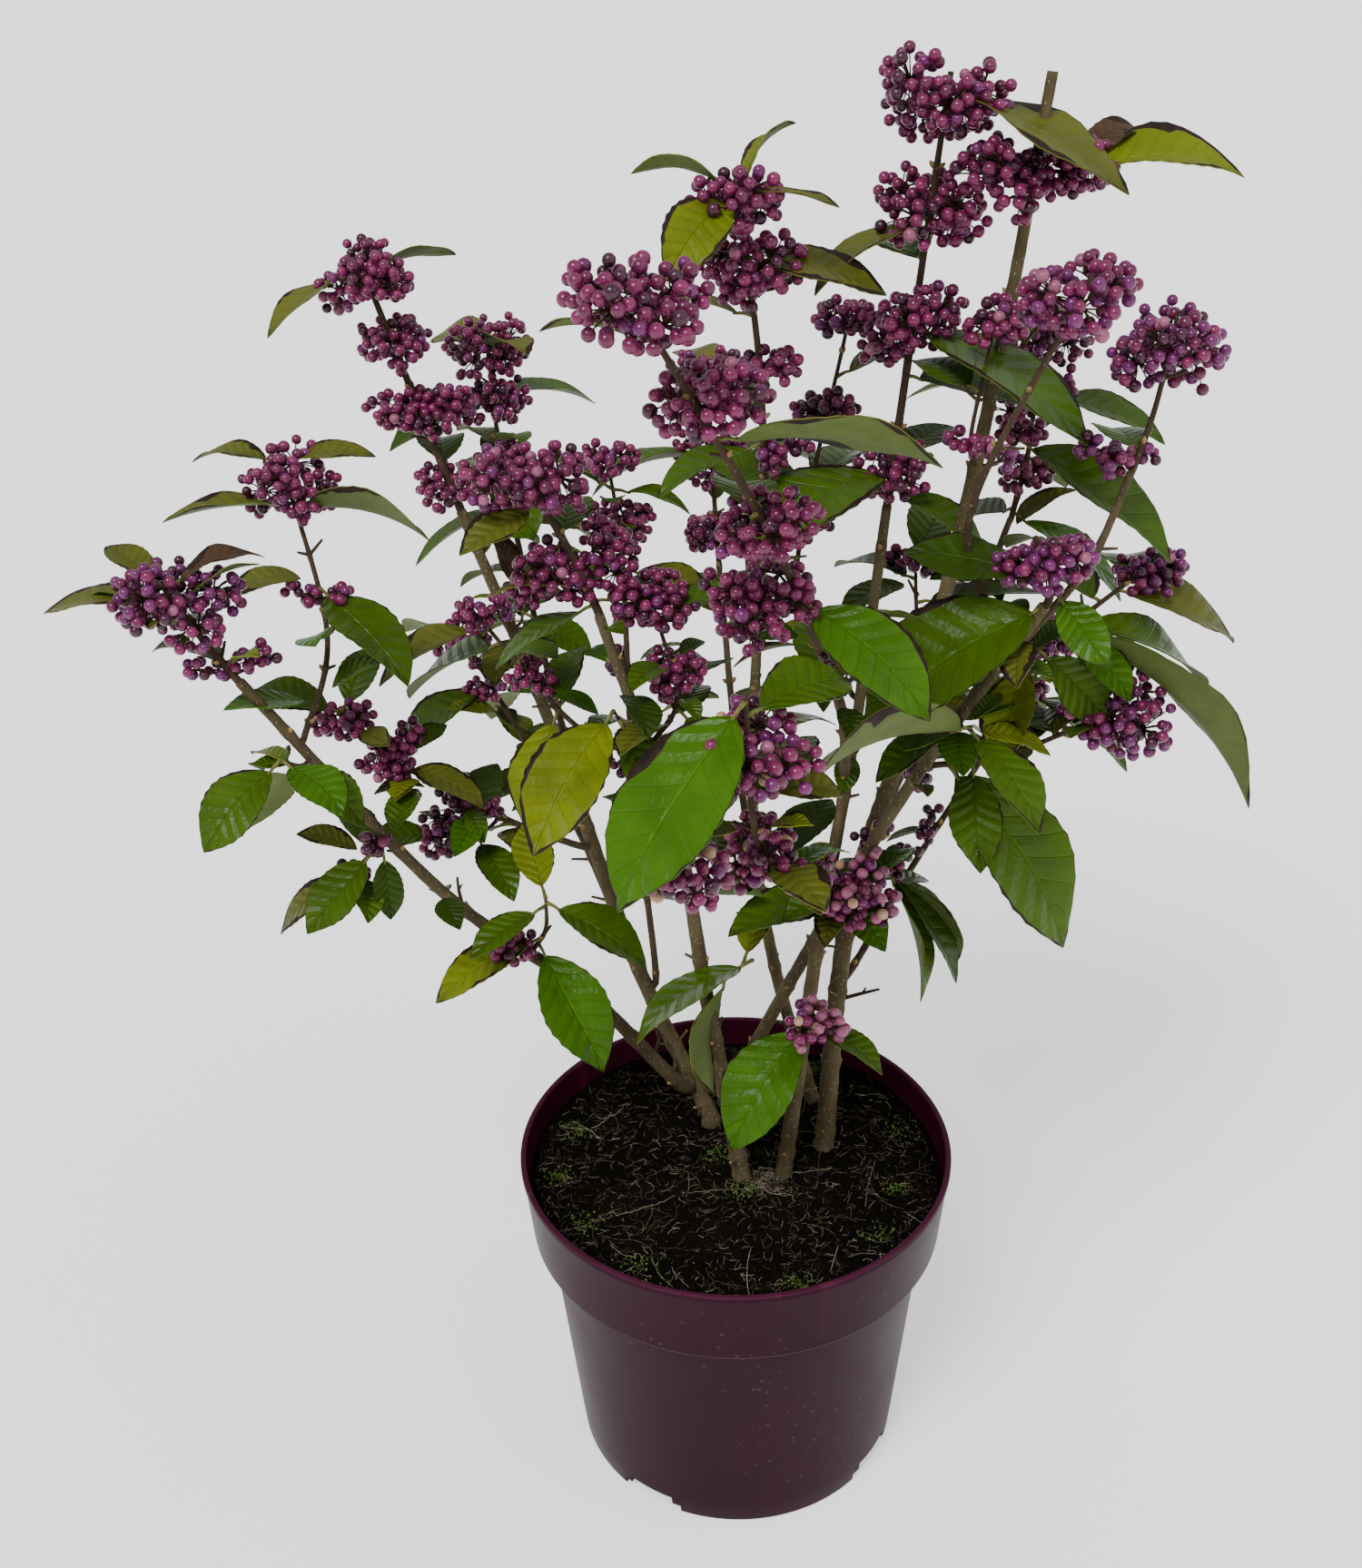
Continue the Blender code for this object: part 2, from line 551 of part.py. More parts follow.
def leaf_mesh(root, heading, rise, length):
    """A pointed, arched and folded blade whose thick root lies inside the twig."""
    ahead = heading_vector(heading, rise)
    across = Vector((-math.sin(math.radians(heading)), math.cos(math.radians(heading)), 0))
    up = ahead.cross(across)
    size = length * MM
    half_root = LEAF_ROOT * MM / 2
    half_width = size * LEAF_WIDTH / 2

    def spot(share, side, lift):
        return root + ahead * size * share + across * side + up * lift

    def fill(shape):
        new = shape.verts.new
        back = -half_root / size
        tip = new(spot(1.0, 0, 0))
        roots = [new(spot(back, side, lift)) for side, lift in
                 ((half_root, 0), (0, half_root), (-half_root, 0), (0, -half_root))]
        edges = {}
        for side in (1, -1):
            edges[side] = []
            for share, width in LEAF_STATIONS:
                lift = size * (LEAF_FOLD + LEAF_ARCH * (1 - (2 * share - 1) ** 2))
                edges[side].append(new(spot(share, side * half_width * width, lift)))
        ring = [roots[0], *edges[1], tip, *reversed(edges[-1]), roots[2]]
        for crown, lift in ((roots[1], LEAF_THICK / 2), (roots[3], -LEAF_THICK / 2)):
            rib = new(spot(LEAF_RIB, 0, size * LEAF_ARCH + lift * MM))
            loop = [*ring, crown]
            for index, vertex in enumerate(loop):
                shape.faces.new((vertex, loop[(index + 1) % len(loop)], rib))
        shape.faces.new(roots)

    return mesh_from("leaf", fill)


def berry_mesh(centre, radius, turn):
    def fill(shape):
        place = Matrix.Translation(centre) @ turn.to_matrix().to_4x4()
        bmesh.ops.create_icosphere(shape, subdivisions=0, radius=radius, matrix=place)

    return mesh_from("berry", fill)


def bunch_meshes(centre, width, rng):
    """The core and the berries of one bunch, or only berries where the bunch is small."""
    reach = width * MM / 2
    kind = "small" if width < SMALL_BUNCH else "large" if width > LARGE_BUNCH else "middle"
    count = BERRY_COUNTS[kind]
    share = SMALL_BERRY_SHARE if kind == "small" else BERRY_SHARE
    turn = Vector((rng.uniform(-1, 1), rng.uniform(-1, 1), 1)).to_track_quat("Z", "X")
    if kind != "small":
        yield berry_mesh(centre, reach * CORE_SHARE, turn)
    start = rng.uniform(0, 2 * math.pi)
    for index in range(count):
        level = 1 - 2 * (index + 0.5) / count
        flat = math.sqrt(1 - level * level)
        angle = start + index * GOLDEN_ANGLE
        out = turn @ Vector((flat * math.cos(angle), flat * math.sin(angle), level))
        radius = reach * share * rng.uniform(0.9, 1.05)
        yield berry_mesh(centre + out * (reach - radius), radius, out.to_track_quat("Z", "Y"))


def keep_leaf(pieces, shoot, root, heading, rise, length):
    """Adds a leaf, turned a little where its first place is taken, and leaves it out where none is free."""
    for change in LEAF_RISES:
        for turn in LEAF_TURNS:
            mesh = leaf_mesh(root, heading + turn, rise + change, length)
            if has_room(mesh, shoot):
                pieces.append(mesh)
                return


def keep_bunch(pieces, shoot, path, group, rng, place, width, heading=0, stalk=0, rise=STALK_RISE):
    """Adds a bunch round the twig, or on a stalk of its own."""
    centre = along(path, place)
    if stalk:
        end = centre + heading_vector(heading, rise) * stalk * MM
        mesh = tube_mesh("stalk", [centre, end], [STALK_DIAMETER * MM / 2] * 2, group, 0)
        if not has_room(mesh, shoot):
            return
        pieces.append(mesh)
        centre = end
    core, *berries = bunch_meshes(centre, width, rng)
    if has_room(core, shoot):
        berries = [mesh for mesh in berries if has_room(mesh, shoot)]
        pieces.append(united("bunch", core, berries, BUNCH_SHARES, group))


def is_sound(mesh):
    """Whether every edge has two faces and no face cuts another that it shares no corner with."""
    shape = bmesh.new()
    shape.from_mesh(mesh)
    closed = all(len(edge.link_faces) == 2 for edge in shape.edges)
    shape.free()
    corners = [set(face.vertices) for face in mesh.polygons]
    tree = search_tree(mesh)
    crossing = any(first < second and not corners[first] & corners[second] for first, second in tree.overlap(tree))
    return closed and not crossing


def united(name, base, pieces, shares, group):
    """One Boolean union of a base with a collection of pieces, and the thinning of its seams."""
    whole = new_object(name, base, group)
    grown = new_collection(f"{name}_pieces")
    for index, mesh in enumerate(pieces):
        new_object(f"{name}_piece_{index + 1}", mesh, grown)
    union = whole.modifiers.new("join", "BOOLEAN")
    union.operation = "UNION"
    union.operand_type = "COLLECTION"
    union.collection = grown
    thinning = whole.modifiers.new("thin_seams", "DECIMATE")
    thinning.use_collapse_triangulate = True
    for share, solver in itertools.product(shares, SOLVERS):
        thinning.ratio = share
        union.solver = solver
        joined = evaluated_mesh(whole)
        if is_sound(joined):
            break
    for thing in (*grown.objects, whole):
        bpy.data.objects.remove(thing, do_unlink=True)
    bpy.data.collections.remove(grown)
    return joined


def drop_scraps(mesh):
    """Keeps the largest body of a joined mass."""
    shape = bmesh.new()
    shape.from_mesh(mesh)
    left = set(shape.verts)
    bodies = []
    while left:
        body = set()
        front = [left.pop()]
        while front:
            vertex = front.pop()
            body.add(vertex)
            for edge in vertex.link_edges:
                other = edge.other_vert(vertex)
                if other in left:
                    left.remove(other)
                    front.append(other)
        bodies.append(body)
    bodies.sort(key=len)
    for body in bodies[:-1]:
        bmesh.ops.delete(shape, geom=list(body), context="VERTS")
    shape.to_mesh(mesh)
    shape.free()


def build_twig(name, carrier, height, tip, diameter, group):
    """The path and mesh of a shoot's twig, whose room is kept free from the start."""
    if height is None:
        path = limbs[carrier][0]
        outward = (path[-1] - path[-2]).normalized()
        start = path[-1] + outward * GAP * MM
    else:
        start, outward = side_start(limbs[carrier], height, vec(tip))
    path = bent_path(start, outward, [], vec(tip), TWIG_POINTS, diameter)
    twig = tube_mesh(name, path, taper(diameter, diameter * TWIG_TAPER, TWIG_POINTS), group, 0)
    solids[name] = search_tree(twig)
    return path, twig


def build_shoot(name, path, twig, fruits, leaves, group, rng):
    """One mass: the twig with its bunches and leaves, joined."""
    pieces = []
    for fruit in fruits:
        keep_bunch(pieces, name, path, group, rng, *fruit)
    for place, *leaf in leaves:
        keep_leaf(pieces, name, along(path, min(place, LAST_LEAF)), *leaf)
    mesh = united(name, twig, pieces, MASS_SHARES, group)
    drop_scraps(mesh)
    mesh.materials.clear()
    mesh.materials.append(new_material(name, "shoot"))
    new_object(name, mesh, group)
    solids[name] = search_tree(mesh)


def main():
    clear_scene()
    group = new_collection(NAME)
    cutters = new_collection(f"{NAME}_cutters")
    rng = random.Random(SEED)
    for thing in (build_pot(group, cutters), build_soil(group)):
        thing.data.materials.append(new_material(thing.name, thing.name))
        mesh = evaluated_mesh(thing)
        solids[thing.name] = search_tree(mesh)
    for name, stem in STEMS.items():
        build_stem(name, *stem, group)
    for name, bough in BOUGHS.items():
        build_bough(name, *bough, group)
    twigs = {name: build_twig(name, *shoot[:4], group) for name, shoot in SHOOTS.items()}
    for name, (path, twig) in twigs.items():
        build_shoot(name, path, twig, *SHOOTS[name][4:], group, rng)


main()
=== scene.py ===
"""Looks of a potted beautyberry: pot, soil, stems, leaves and berries. Metres, +Z up."""

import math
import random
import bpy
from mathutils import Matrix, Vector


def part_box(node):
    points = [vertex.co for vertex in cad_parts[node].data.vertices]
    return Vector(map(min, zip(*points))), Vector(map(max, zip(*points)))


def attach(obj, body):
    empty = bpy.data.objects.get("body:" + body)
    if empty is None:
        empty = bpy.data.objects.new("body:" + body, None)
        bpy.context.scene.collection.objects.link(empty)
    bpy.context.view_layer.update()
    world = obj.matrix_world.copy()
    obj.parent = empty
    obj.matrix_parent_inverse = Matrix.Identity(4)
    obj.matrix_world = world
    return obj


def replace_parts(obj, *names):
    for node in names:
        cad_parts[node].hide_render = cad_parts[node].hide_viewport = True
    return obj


bl_info = {
    "name": "Potted beautyberry",
    "version": (1, 0, 0),
    "blender": (4, 5, 0),
    "location": "View3D > Sidebar > Beautyberry",
    "description": "Builds a berried shrub in its nursery pot, piece by piece",
    "category": "Object",
}

import bmesh
import bpy
from bpy.props import FloatProperty, FloatVectorProperty, IntProperty, PointerProperty
from mathutils import Matrix, Vector, noise

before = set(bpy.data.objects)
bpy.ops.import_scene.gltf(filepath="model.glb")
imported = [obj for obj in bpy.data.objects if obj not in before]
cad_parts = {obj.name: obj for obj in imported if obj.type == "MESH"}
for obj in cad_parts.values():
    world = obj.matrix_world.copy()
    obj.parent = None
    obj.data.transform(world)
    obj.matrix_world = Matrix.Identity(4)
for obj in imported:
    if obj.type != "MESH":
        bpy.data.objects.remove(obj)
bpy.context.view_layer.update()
BODY = "root"
MM = 0.001
SEED = 20
CAMERA_PLACE = (-0.0204, -0.6113, 0.6626)

POT_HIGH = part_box("pot")[1]

# Tables in millimetres and degrees, as in the part's construction.
SOIL_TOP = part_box("potting_soil")[1].z / MM
GAP = 0.35
SQUARE_START = 0.9
STALK_RISE = 18.0

# Pot: a three-litre nursery pot with a collar, a rolled lip and slots at the foot of its wall.
POT_HEIGHT = 155.0
RIM_RADIUS = 95.0
COLLAR_HEIGHT = 37.0
COLLAR_FOOT_RADIUS = 91.3
SHOULDER_RADIUS = 84.3
BASE_RADIUS = 73.3
WALL = 1.8
LIP = 3.4
LIP_STANDS_OUT = 0.7
FLOOR = 2.4
SLOT_COUNT = 4
SLOT_TURN = -124.0
SLOT_WIDTH = 30.0
SLOT_HEIGHT = 8.0
SLOT_DEPTH = 9.0

# Soil: fills the pot to a little under the rim, with its lower corner rounded off.
SOIL_CHAMFER = 13.0

# Stems from the soil: foot (x, y), guide points, tip, diameter above the flare and at the tip.
STEMS = {
    "left_tall_stem": ((-11, 33), [(-43, 60, 212), (-80, 108, 313)], (-116, 140, 402), 7.4, 4.8),
    "front_left_stem": ((2, -6), [(-12, -2, 237), (-23, 2, 314)], (-51, 25, 398), 7.6, 4.2),
    "centre_stem": ((22, -4), [(35, 8, 248), (52, 34, 345)], (63, 48, 432), 7.2, 3.9),
    "back_centre_stem": ((37, 47), [(19, 51, 220), (10, 46, 300)], (14, 40, 440), 6.2, 3.6),
    "cut_stem": ((41, 13), [(51, 29, 257), (78, 36, 358), (101, 44, 480)], (116, 50, 590), 8.8, 4.0),
    "right_leaning_stem": ((-2, 44), [(34, 31, 236), (69, 1, 330)], (112, -24, 418), 6.2, 4.6),
}

# Boughs: carrying limb, height on it, guide points, tip, diameter at the start and at the tip.
BOUGHS = {
    "left_arching_bough": (
        "left_tall_stem", 163, [(-66, 26, 221), (-122, 18, 278)], (-192, 14, 378), 6.4, 4.2),
    "near_bough": ("centre_stem", 322, [(42, -8, 368)], (24, -56, 430), 4.8, 3.9),
    "front_bough": ("centre_stem", 290, [(26, -40, 316)], (10, -90, 350), 3.6, 2.8),
    "inner_left_bough": ("left_tall_stem", 262, [(-98, 72, 281)], (-128, 62, 306), 3.4, 2.7),
    "thin_back_bough": ("left_tall_stem", 205, [(-42, 96, 285)], (-44, 128, 372), 3.2, 2.6),
    "right_outer_bough": ("right_leaning_stem", 398, [(130, -10, 428)], (148, 10, 457), 3.4, 2.8),
    "rear_left_bough": ("left_tall_stem", 285, [(-84, 142, 334)], (-98, 182, 388), 3.6, 2.7),
    "rear_centre_bough": ("back_centre_stem", 240, [(6, 92, 292)], (0, 142, 362), 3.8, 2.8),
    "rear_right_bough": ("cut_stem", 300, [(96, 74, 348)], (124, 108, 404), 4.0, 2.8),
    "right_rear_low_bough": ("cut_stem", 226, [(84, 62, 262)], (118, 88, 304), 3.4, 2.6),
    "left_rear_low_bough": ("left_tall_stem", 222, [(-70, 108, 256)], (-98, 142, 292), 3.4, 2.6),
}

# Shoots, each one mass: carrying limb, height on it (None for its tip), tip of the shoot and its
# diameter, then fruit as (place, width) or (place, width, heading, stalk, rise), and leaves as
# (place, heading, rise, length). A place runs from 0 at the shoot's foot to 1 at its tip, and a
# heading is counted from +X towards +Y.
SHOOTS = {
    "left_arching_tip": (
        "left_arching_bough", None, (-216, 15, 418), 3.4,
        [(0.1, 16, 200, 10), (0.1, 16, 20, 10), (0.78, 42)],
        [(0.9, 175, -8, 52), (1.0, 140, 15, 36), (1.0, 25, 10, 40)]),
    "upright_left_shoot": (
        "left_arching_bough", 350, (-180, 80, 448), 2.8,
        [(0.52, 15, 180, 8), (0.52, 15, 10, 8), (0.9, 34)],
        [(1.0, 170, 2, 38), (1.0, 10, 2, 38), (0.84, 195, 0, 52), (0.84, -20, -5, 62), (0.56, -42, -25, 60)]),
    "left_bough_outer_spray": (
        "left_arching_bough", 344, (-176, -3, 352), 2.0,
        [],
        [(1.0, -140, -35, 46), (1.0, -45, -12, 40), (0.6, 165, -50, 42)]),
    "left_bough_underside_shoot": (
        "left_arching_bough", 303, (-160, 26, 282), 2.0,
        [(0.96, 17)],
        [(1.0, 190, -35, 42), (0.4, 120, 12, 40), (0.3, -140, -35, 44), (0.15, -70, -70, 32)]),
    "low_left_shoot": (
        "left_arching_bough", 243, (-78, 14, 276), 2.4,
        [(0.15, 22, 195, 13)],
        [(1.0, 110, 30, 38), (0.86, -140, -10, 40), (0.92, -20, -25, 50), (0.3, 205, -15, 52),
         (0.2, -45, -50, 62)]),
    "left_tall_tip": (
        "left_tall_stem", None, (-153, 160, 507), 4.2,
        [(0.12, 26), (0.38, 27, 190, 10), (0.4, 27, 15, 10), (0.7, 30), (0.94, 38)],
        [(1.0, -145, -25, 52), (1.0, 35, 0, 46), (0.2, 95, 5, 46)]),
    "left_tall_side_spray": (
        "left_tall_stem", 352, (-92, 136, 362), 1.8,
        [],
        [(1.0, 140, 60, 38), (1.0, 60, 10, 46), (0.6, -30, -20, 40)]),
    "inner_left_tip": (
        "inner_left_bough", None, (-164, 60, 342), 2.6,
        [(0.4, 23, -140, 6), (0.55, 23, 40, 7), (0.98, 24)],
        [(1.0, 165, 10, 42), (1.0, 70, 25, 40), (0.35, -20, -20, 42)]),
    "inner_left_side_shoot": (
        "inner_left_bough", 284, (-124, 60, 280), 2.0,
        [(1.0, 24)],
        [(0.7, 70, 25, 42), (0.5, -60, -20, 40), (0.9, 190, 0, 40)]),
    "upper_left_shoot": (
        "front_left_stem", 344, (-106, 82, 376), 2.8,
        [(0.66, 19), (0.97, 23)],
        [(0.95, 195, -25, 52), (0.85, 155, -35, 60), (0.5, -130, -58, 52), (0.5, 80, 15, 44)]),
    "front_left_tip": (
        "front_left_stem", None, (-82, 37, 457), 3.8,
        [(0.2, 30, 185, 15), (0.22, 27, 60, 16), (0.9, 42)],
        [(0.72, -140, -15, 40), (0.5, 90, 5, 44), (0.1, 30, -10, 46), (0.08, -160, -20, 46)]),
    "front_left_shoulder_shoot": (
        "front_left_stem", 350, (-30, 30, 400), 2.4,
        [(0.5, 24), (1.0, 31)],
        [(0.9, 20, 10, 44), (0.45, 70, -10, 48), (0.3, -40, -30, 48)]),
    "front_left_leaf_spray": (
        "front_left_stem", 350, (-46, 2, 368), 2.2,
        [],
        [(1.0, -125, -35, 66), (0.8, -50, -50, 44)]),
    "thin_back_tip": (
        "thin_back_bough", None, (-50, 132, 431), 2.4,
        [(0.4, 28), (0.92, 24)],
        [(0.7, 0, -15, 36), (0.1, 175, -10, 46), (0.1, -10, -15, 46), (0.7, 150, 15, 38)]),
    "near_tip": (
        "near_bough", None, (-31, -101, 547), 3.4,
        [(0.04, 35, 195, 18), (0.36, 30), (0.7, 34, 60, 5), (0.98, 37)],
        [(0.64, 0, -4, 70), (0.1, -38, -28, 60), (0.02, 30, -25, 44), (0.9, 165, 5, 36), (0.4, 100, 0, 44)]),
    "back_centre_tip": (
        "back_centre_stem", None, (3, 14, 561), 3.2,
        [(0.15, 21, 10, 7), (0.42, 21, 10, 6), (0.74, 33), (0.96, 31)],
        [(1.0, 160, 10, 38), (1.0, 50, 32, 36), (0.98, -15, -8, 36), (0.97, -130, -30, 46),
         (0.78, 0, -15, 52), (0.66, 55, 5, 46), (0.6, 165, 5, 46), (0.3, 100, -5, 50), (0.2, 200, -20, 46)]),
    "cut_stem_left_shoot": (
        "cut_stem", 452, (98, 30, 508), 2.0,
        [(0.25, 15, 200, 4), (1.0, 23)],
        [(0.6, 120, 5, 40)]),
    "centre_tip": (
        "centre_stem", None, (81, 56, 590), 3.6,
        [(0.12, 26), (0.46, 37), (0.72, 36), (0.95, 42)],
        [(0.7, -150, -20, 56), (0.97, -30, -25, 76), (0.46, -35, -25, 82), (0.34, 20, -20, 66),
         (0.12, -140, -10, 80), (0.08, -15, -35, 54), (0.14, 50, 5, 44), (0.6, 100, 0, 54)]),
    "centre_back_shoot": (
        "centre_stem", 356, (50, 82, 500), 2.6,
        [(0.5, 23), (0.76, 25), (0.97, 22)],
        [(0.85, 20, 15, 46), (0.6, 150, 0, 46), (0.6, 60, 0, 50), (0.3, 100, -20, 50)]),
    "cut_stem_top_left_fruit": (
        "cut_stem", 556, (98, 41, 556), 2.0, [(1.0, 31)], []),
    "cut_stem_top_right_fruit": (
        "cut_stem", 553, (125, 50, 556), 2.2,
        [(0.9, 30)],
        [(1.0, 0, 2, 64), (1.0, 40, 14, 46)]),
    "cut_stem_right_shoot": (
        "cut_stem", 450, (114, 47, 460), 2.0,
        [(1.0, 17)],
        [(0.9, -20, -35, 76), (0.8, 60, 0, 48)]),
    "cut_stem_rear_shoot": (
        "cut_stem", 372, (80, 82, 398), 2.2,
        [(1.0, 23)],
        [(0.6, 10, 0, 58), (0.8, 130, -5, 48), (1.0, 70, 10, 46)]),
    "cut_stem_low_rear_shoot": (
        "cut_stem", 322, (102, 66, 352), 2.2,
        [(1.0, 22), (0.4, 16)],
        [(0.9, 30, -25, 56), (0.7, 120, -20, 50)]),
    "right_leaning_tip": (
        "right_leaning_stem", None, (107, -22, 444), 3.4,
        [(0.66, 31)],
        [(0.4, 165, 8, 54), (0.1, 182, -38, 84), (0.3, -60, -30, 36)]),
    "right_upright_shoot": (
        "right_leaning_stem", 402, (117, -33, 537), 3.2,
        [(0.5, 14, 60, 9), (0.92, 34)],
        []),
    "right_outer_tip": (
        "right_outer_bough", None, (161, 19, 513), 2.6,
        [(0.03, 14, 60, 9), (0.05, 18, 160, 12), (0.76, 39)],
        [(0.15, 95, -5, 44)]),
    "right_side_shoot": (
        "right_leaning_stem", 388, (170, 50, 404), 2.8,
        [(0.4, 17), (1.0, 26)],
        [(0.5, -20, -35, 100), (0.56, 10, -30, 70), (0.8, 15, -28, 64), (0.25, -120, -55, 46),
         (0.3, -5, -45, 42), (0.45, -40, -30, 38), (0.9, 80, -10, 54), (0.7, 110, -5, 50)]),
    "right_low_shoot": (
        "right_leaning_stem", 344, (153, 12, 358), 2.8,
        [(0.96, 40)],
        [(0.7, 100, -15, 46), (0.12, -30, -52, 88), (0.25, -90, -40, 46), (0.5, 80, 0, 48)]),
    "right_stem_leaf_spray": (
        "right_leaning_stem", 368, (88, -28, 372), 2.0,
        [],
        [(1.0, -145, 6, 84), (0.8, -60, -25, 50)]),
    "low_right_shoot": (
        "cut_stem", 274, (66, 18, 284), 2.2,
        [(0.9, 14)],
        [(1.0, -60, -62, 58), (1.0, -20, -58, 60), (0.9, 10, -55, 60)]),
    "low_centre_shoot": (
        "centre_stem", 276, (49, -3, 287), 2.2,
        [(1.0, 32)],
        [(0.25, -150, -2, 52), (0.2, 175, -20, 40)]),
    "low_front_shoot": (
        "centre_stem", 222, (32, -16, 230), 2.2,
        [(1.0, 24)],
        [(0.35, -140, -45, 64), (0.8, -30, -20, 36)]),
    "front_stem_low_spray": (
        "front_left_stem", 246, (8, -6, 256), 2.2,
        [],
        [(1.0, -150, -15, 60), (0.75, 65, 35, 34), (0.4, -125, -72, 54)]),
    "front_tip": (
        "front_bough", None, (0, -120, 432), 2.8,
        [(0.2, 27), (0.7, 38), (0.04, 26, -122, 62, 24)],
        [(0.96, -140, -40, 76), (0.9, 40, 0, 48), (0.5, 60, 10, 46), (0.1, 120, -10, 48)]),
    "rear_left_tip": (
        "rear_left_bough", None, (-106, 204, 462), 2.8,
        [(0.3, 24), (0.66, 30), (0.96, 34)],
        [(1.0, 120, -5, 50), (1.0, -60, 5, 44), (0.7, 30, -10, 56), (0.66, 200, -15, 54),
         (0.35, 110, -20, 60), (0.3, -70, -25, 52), (0.05, 180, -30, 56), (0.05, 20, -30, 54)]),
    "rear_centre_tip": (
        "rear_centre_bough", None, (-4, 176, 452), 2.8,
        [(0.3, 26), (0.62, 30), (0.95, 36)],
        [(1.0, 100, 5, 48), (1.0, -80, 10, 40), (0.66, 10, -10, 60), (0.64, 190, -12, 58),
         (0.34, 80, -22, 64), (0.08, 150, -32, 58), (0.08, 20, -30, 60)]),
    "rear_right_tip": (
        "rear_right_bough", None, (134, 126, 482), 2.8,
        [(0.3, 24), (0.64, 32), (0.95, 36)],
        [(1.0, 70, 0, 48), (1.0, -110, 10, 42), (0.68, 160, -5, 56), (0.66, -20, -12, 58),
         (0.34, 60, -22, 62), (0.08, 120, -30, 58), (0.06, -30, -32, 60)]),
    "right_rear_low_tip": (
        "right_rear_low_bough", None, (150, 106, 350), 2.6,
        [(0.5, 20), (0.96, 28)],
        [(1.0, 30, -10, 54), (0.9, 120, -10, 50), (0.5, -20, -30, 58), (0.1, 70, -35, 60)]),
    "left_rear_low_tip": (
        "left_rear_low_bough", None, (-124, 164, 330), 2.6,
        [(0.5, 20), (0.96, 27)],
        [(1.0, 130, -10, 52), (0.95, 50, -5, 48), (0.5, 200, -28, 56), (0.4, 100, -35, 58),
         (0.05, 10, -30, 50)]),
}

# One letter for each leaf of a shoot, in the order of its table: B bright, D dark, G green, O olive,
# R brown and dry, Y yellow-green. A small letter is the same leaf seen nearly edge-on from the camera's
# place. Where the letters end, leaves are green.
LEAF_TINTS = {
    "left_arching_tip": "OOR", "upright_left_shoot": "OOooG", "left_bough_outer_spray": "GBD",
    "left_bough_underside_shoot": "OGGD", "low_left_shoot": "YGGYB", "left_tall_tip": "OoG",
    "left_tall_side_spray": "RGG", "inner_left_tip": "GGO", "inner_left_side_shoot": "DGG",
    "upper_left_shoot": "OGYG", "front_left_tip": "OGDG", "front_left_shoulder_shoot": "GDG",
    "front_left_leaf_spray": "YG", "thin_back_tip": "GGOG", "near_tip": "oBBOG",
    "back_centre_tip": "yyOYOOODG", "centre_tip": "OoGDGGDG", "centre_back_shoot": "OGGD",
    "cut_stem_top_right_fruit": "YR", "cut_stem_rear_shoot": "DGG", "cut_stem_low_rear_shoot": "GD",
    "right_leaning_tip": "DGB", "right_side_shoot": "gGOYGBGG", "right_low_shoot": "GGGD",
    "right_stem_leaf_spray": "oG", "low_right_shoot": "gdg", "low_centre_shoot": "GG",
    "low_front_shoot": "BG", "front_stem_low_spray": "GYy", "front_tip": "BGGD",
    "rear_left_tip": "OOGGGGGB", "rear_centre_tip": "OGGGGBG", "rear_right_tip": "YOGGGDB",
    "right_rear_low_tip": "GBGG", "left_rear_low_tip": "YGGBG",
}

# Ripeness of a shoot's fruit where it isn't the usual magenta. The dark one is painted shade for fruit at the
# back, inside and under the crown.
FRUIT_RIPENESS = {
    "left_arching_tip": "violet", "low_centre_shoot": "pink", "low_front_shoot": "unripe",
    "front_tip": "mixed", "right_upright_shoot": "mixed", "right_outer_tip": "violet",
    "right_leaning_tip": "violet", "right_side_shoot": "violet", "right_low_shoot": "violet",
    "cut_stem_rear_shoot": "in_painted_shade", "cut_stem_low_rear_shoot": "in_painted_shade", "inner_left_side_shoot": "in_painted_shade",
    "left_bough_underside_shoot": "in_painted_shade", "centre_back_shoot": "in_painted_shade",
}

# Colour and roughness of the berries' skins, by ripeness. The deep tint is no ripeness but painted shade: a
# near-black copy of the magenta skin.
BERRY_TINTS = {
    "magenta": ((0.14, 0.0085, 0.058), 0.2),
    "plum": ((0.1, 0.006, 0.042), 0.2),
    "violet": ((0.105, 0.0085, 0.075), 0.2),
    # Painted shade: a darker copy of the magenta skin, handed to a share of the berries.
    "deep": ((0.04, 0.0035, 0.02), 0.24),
    "rose": ((0.25, 0.07, 0.13), 0.3),
    "unripe": ((0.36, 0.21, 0.13), 0.4),
}

# Shares of the tints above, in their order, for each ripeness. The dark shares paint shade, mostly with the
# deep shade tint.
RIPENESS_SHARES = {
    "ripe": (46, 32, 8, 12, 2, 0), "violet": (18, 20, 46, 12, 4, 0), "in_painted_shade": (14, 34, 8, 44, 0, 0),
    "pink": (30, 8, 18, 2, 38, 4), "unripe": (22, 4, 14, 0, 46, 14), "mixed": (40, 20, 24, 4, 9, 3),
}

LEAF_COLOURS = {
    "B": (0.038, 0.108, 0.0003), "D": (0.022, 0.048, 0.0015), "G": (0.042, 0.088, 0.0012),
    "O": (0.085, 0.094, 0.008), "R": (0.055, 0.028, 0.012), "Y": (0.12, 0.15, 0.002),
}

# Distances from the midrib, as shares of the way to the burnt margin, of the lines of corners across a blade.
LEAF_COLUMNS = (0.0, 0.26, 0.52, 0.76, 1.0)

# Small dead twigs: carrying limb, height on it, heading, rise and length.
DEAD_TWIGS = (
    ("left_tall_stem", 196, 150, 55, 18), ("left_arching_bough", 180, 70, 75, 10),
    ("cut_stem", 214, -10, 22, 15), ("left_arching_bough", 268, 110, 60, 9),
    ("back_centre_stem", 232, 170, 35, 12), ("centre_stem", 205, 20, 40, 8),
)

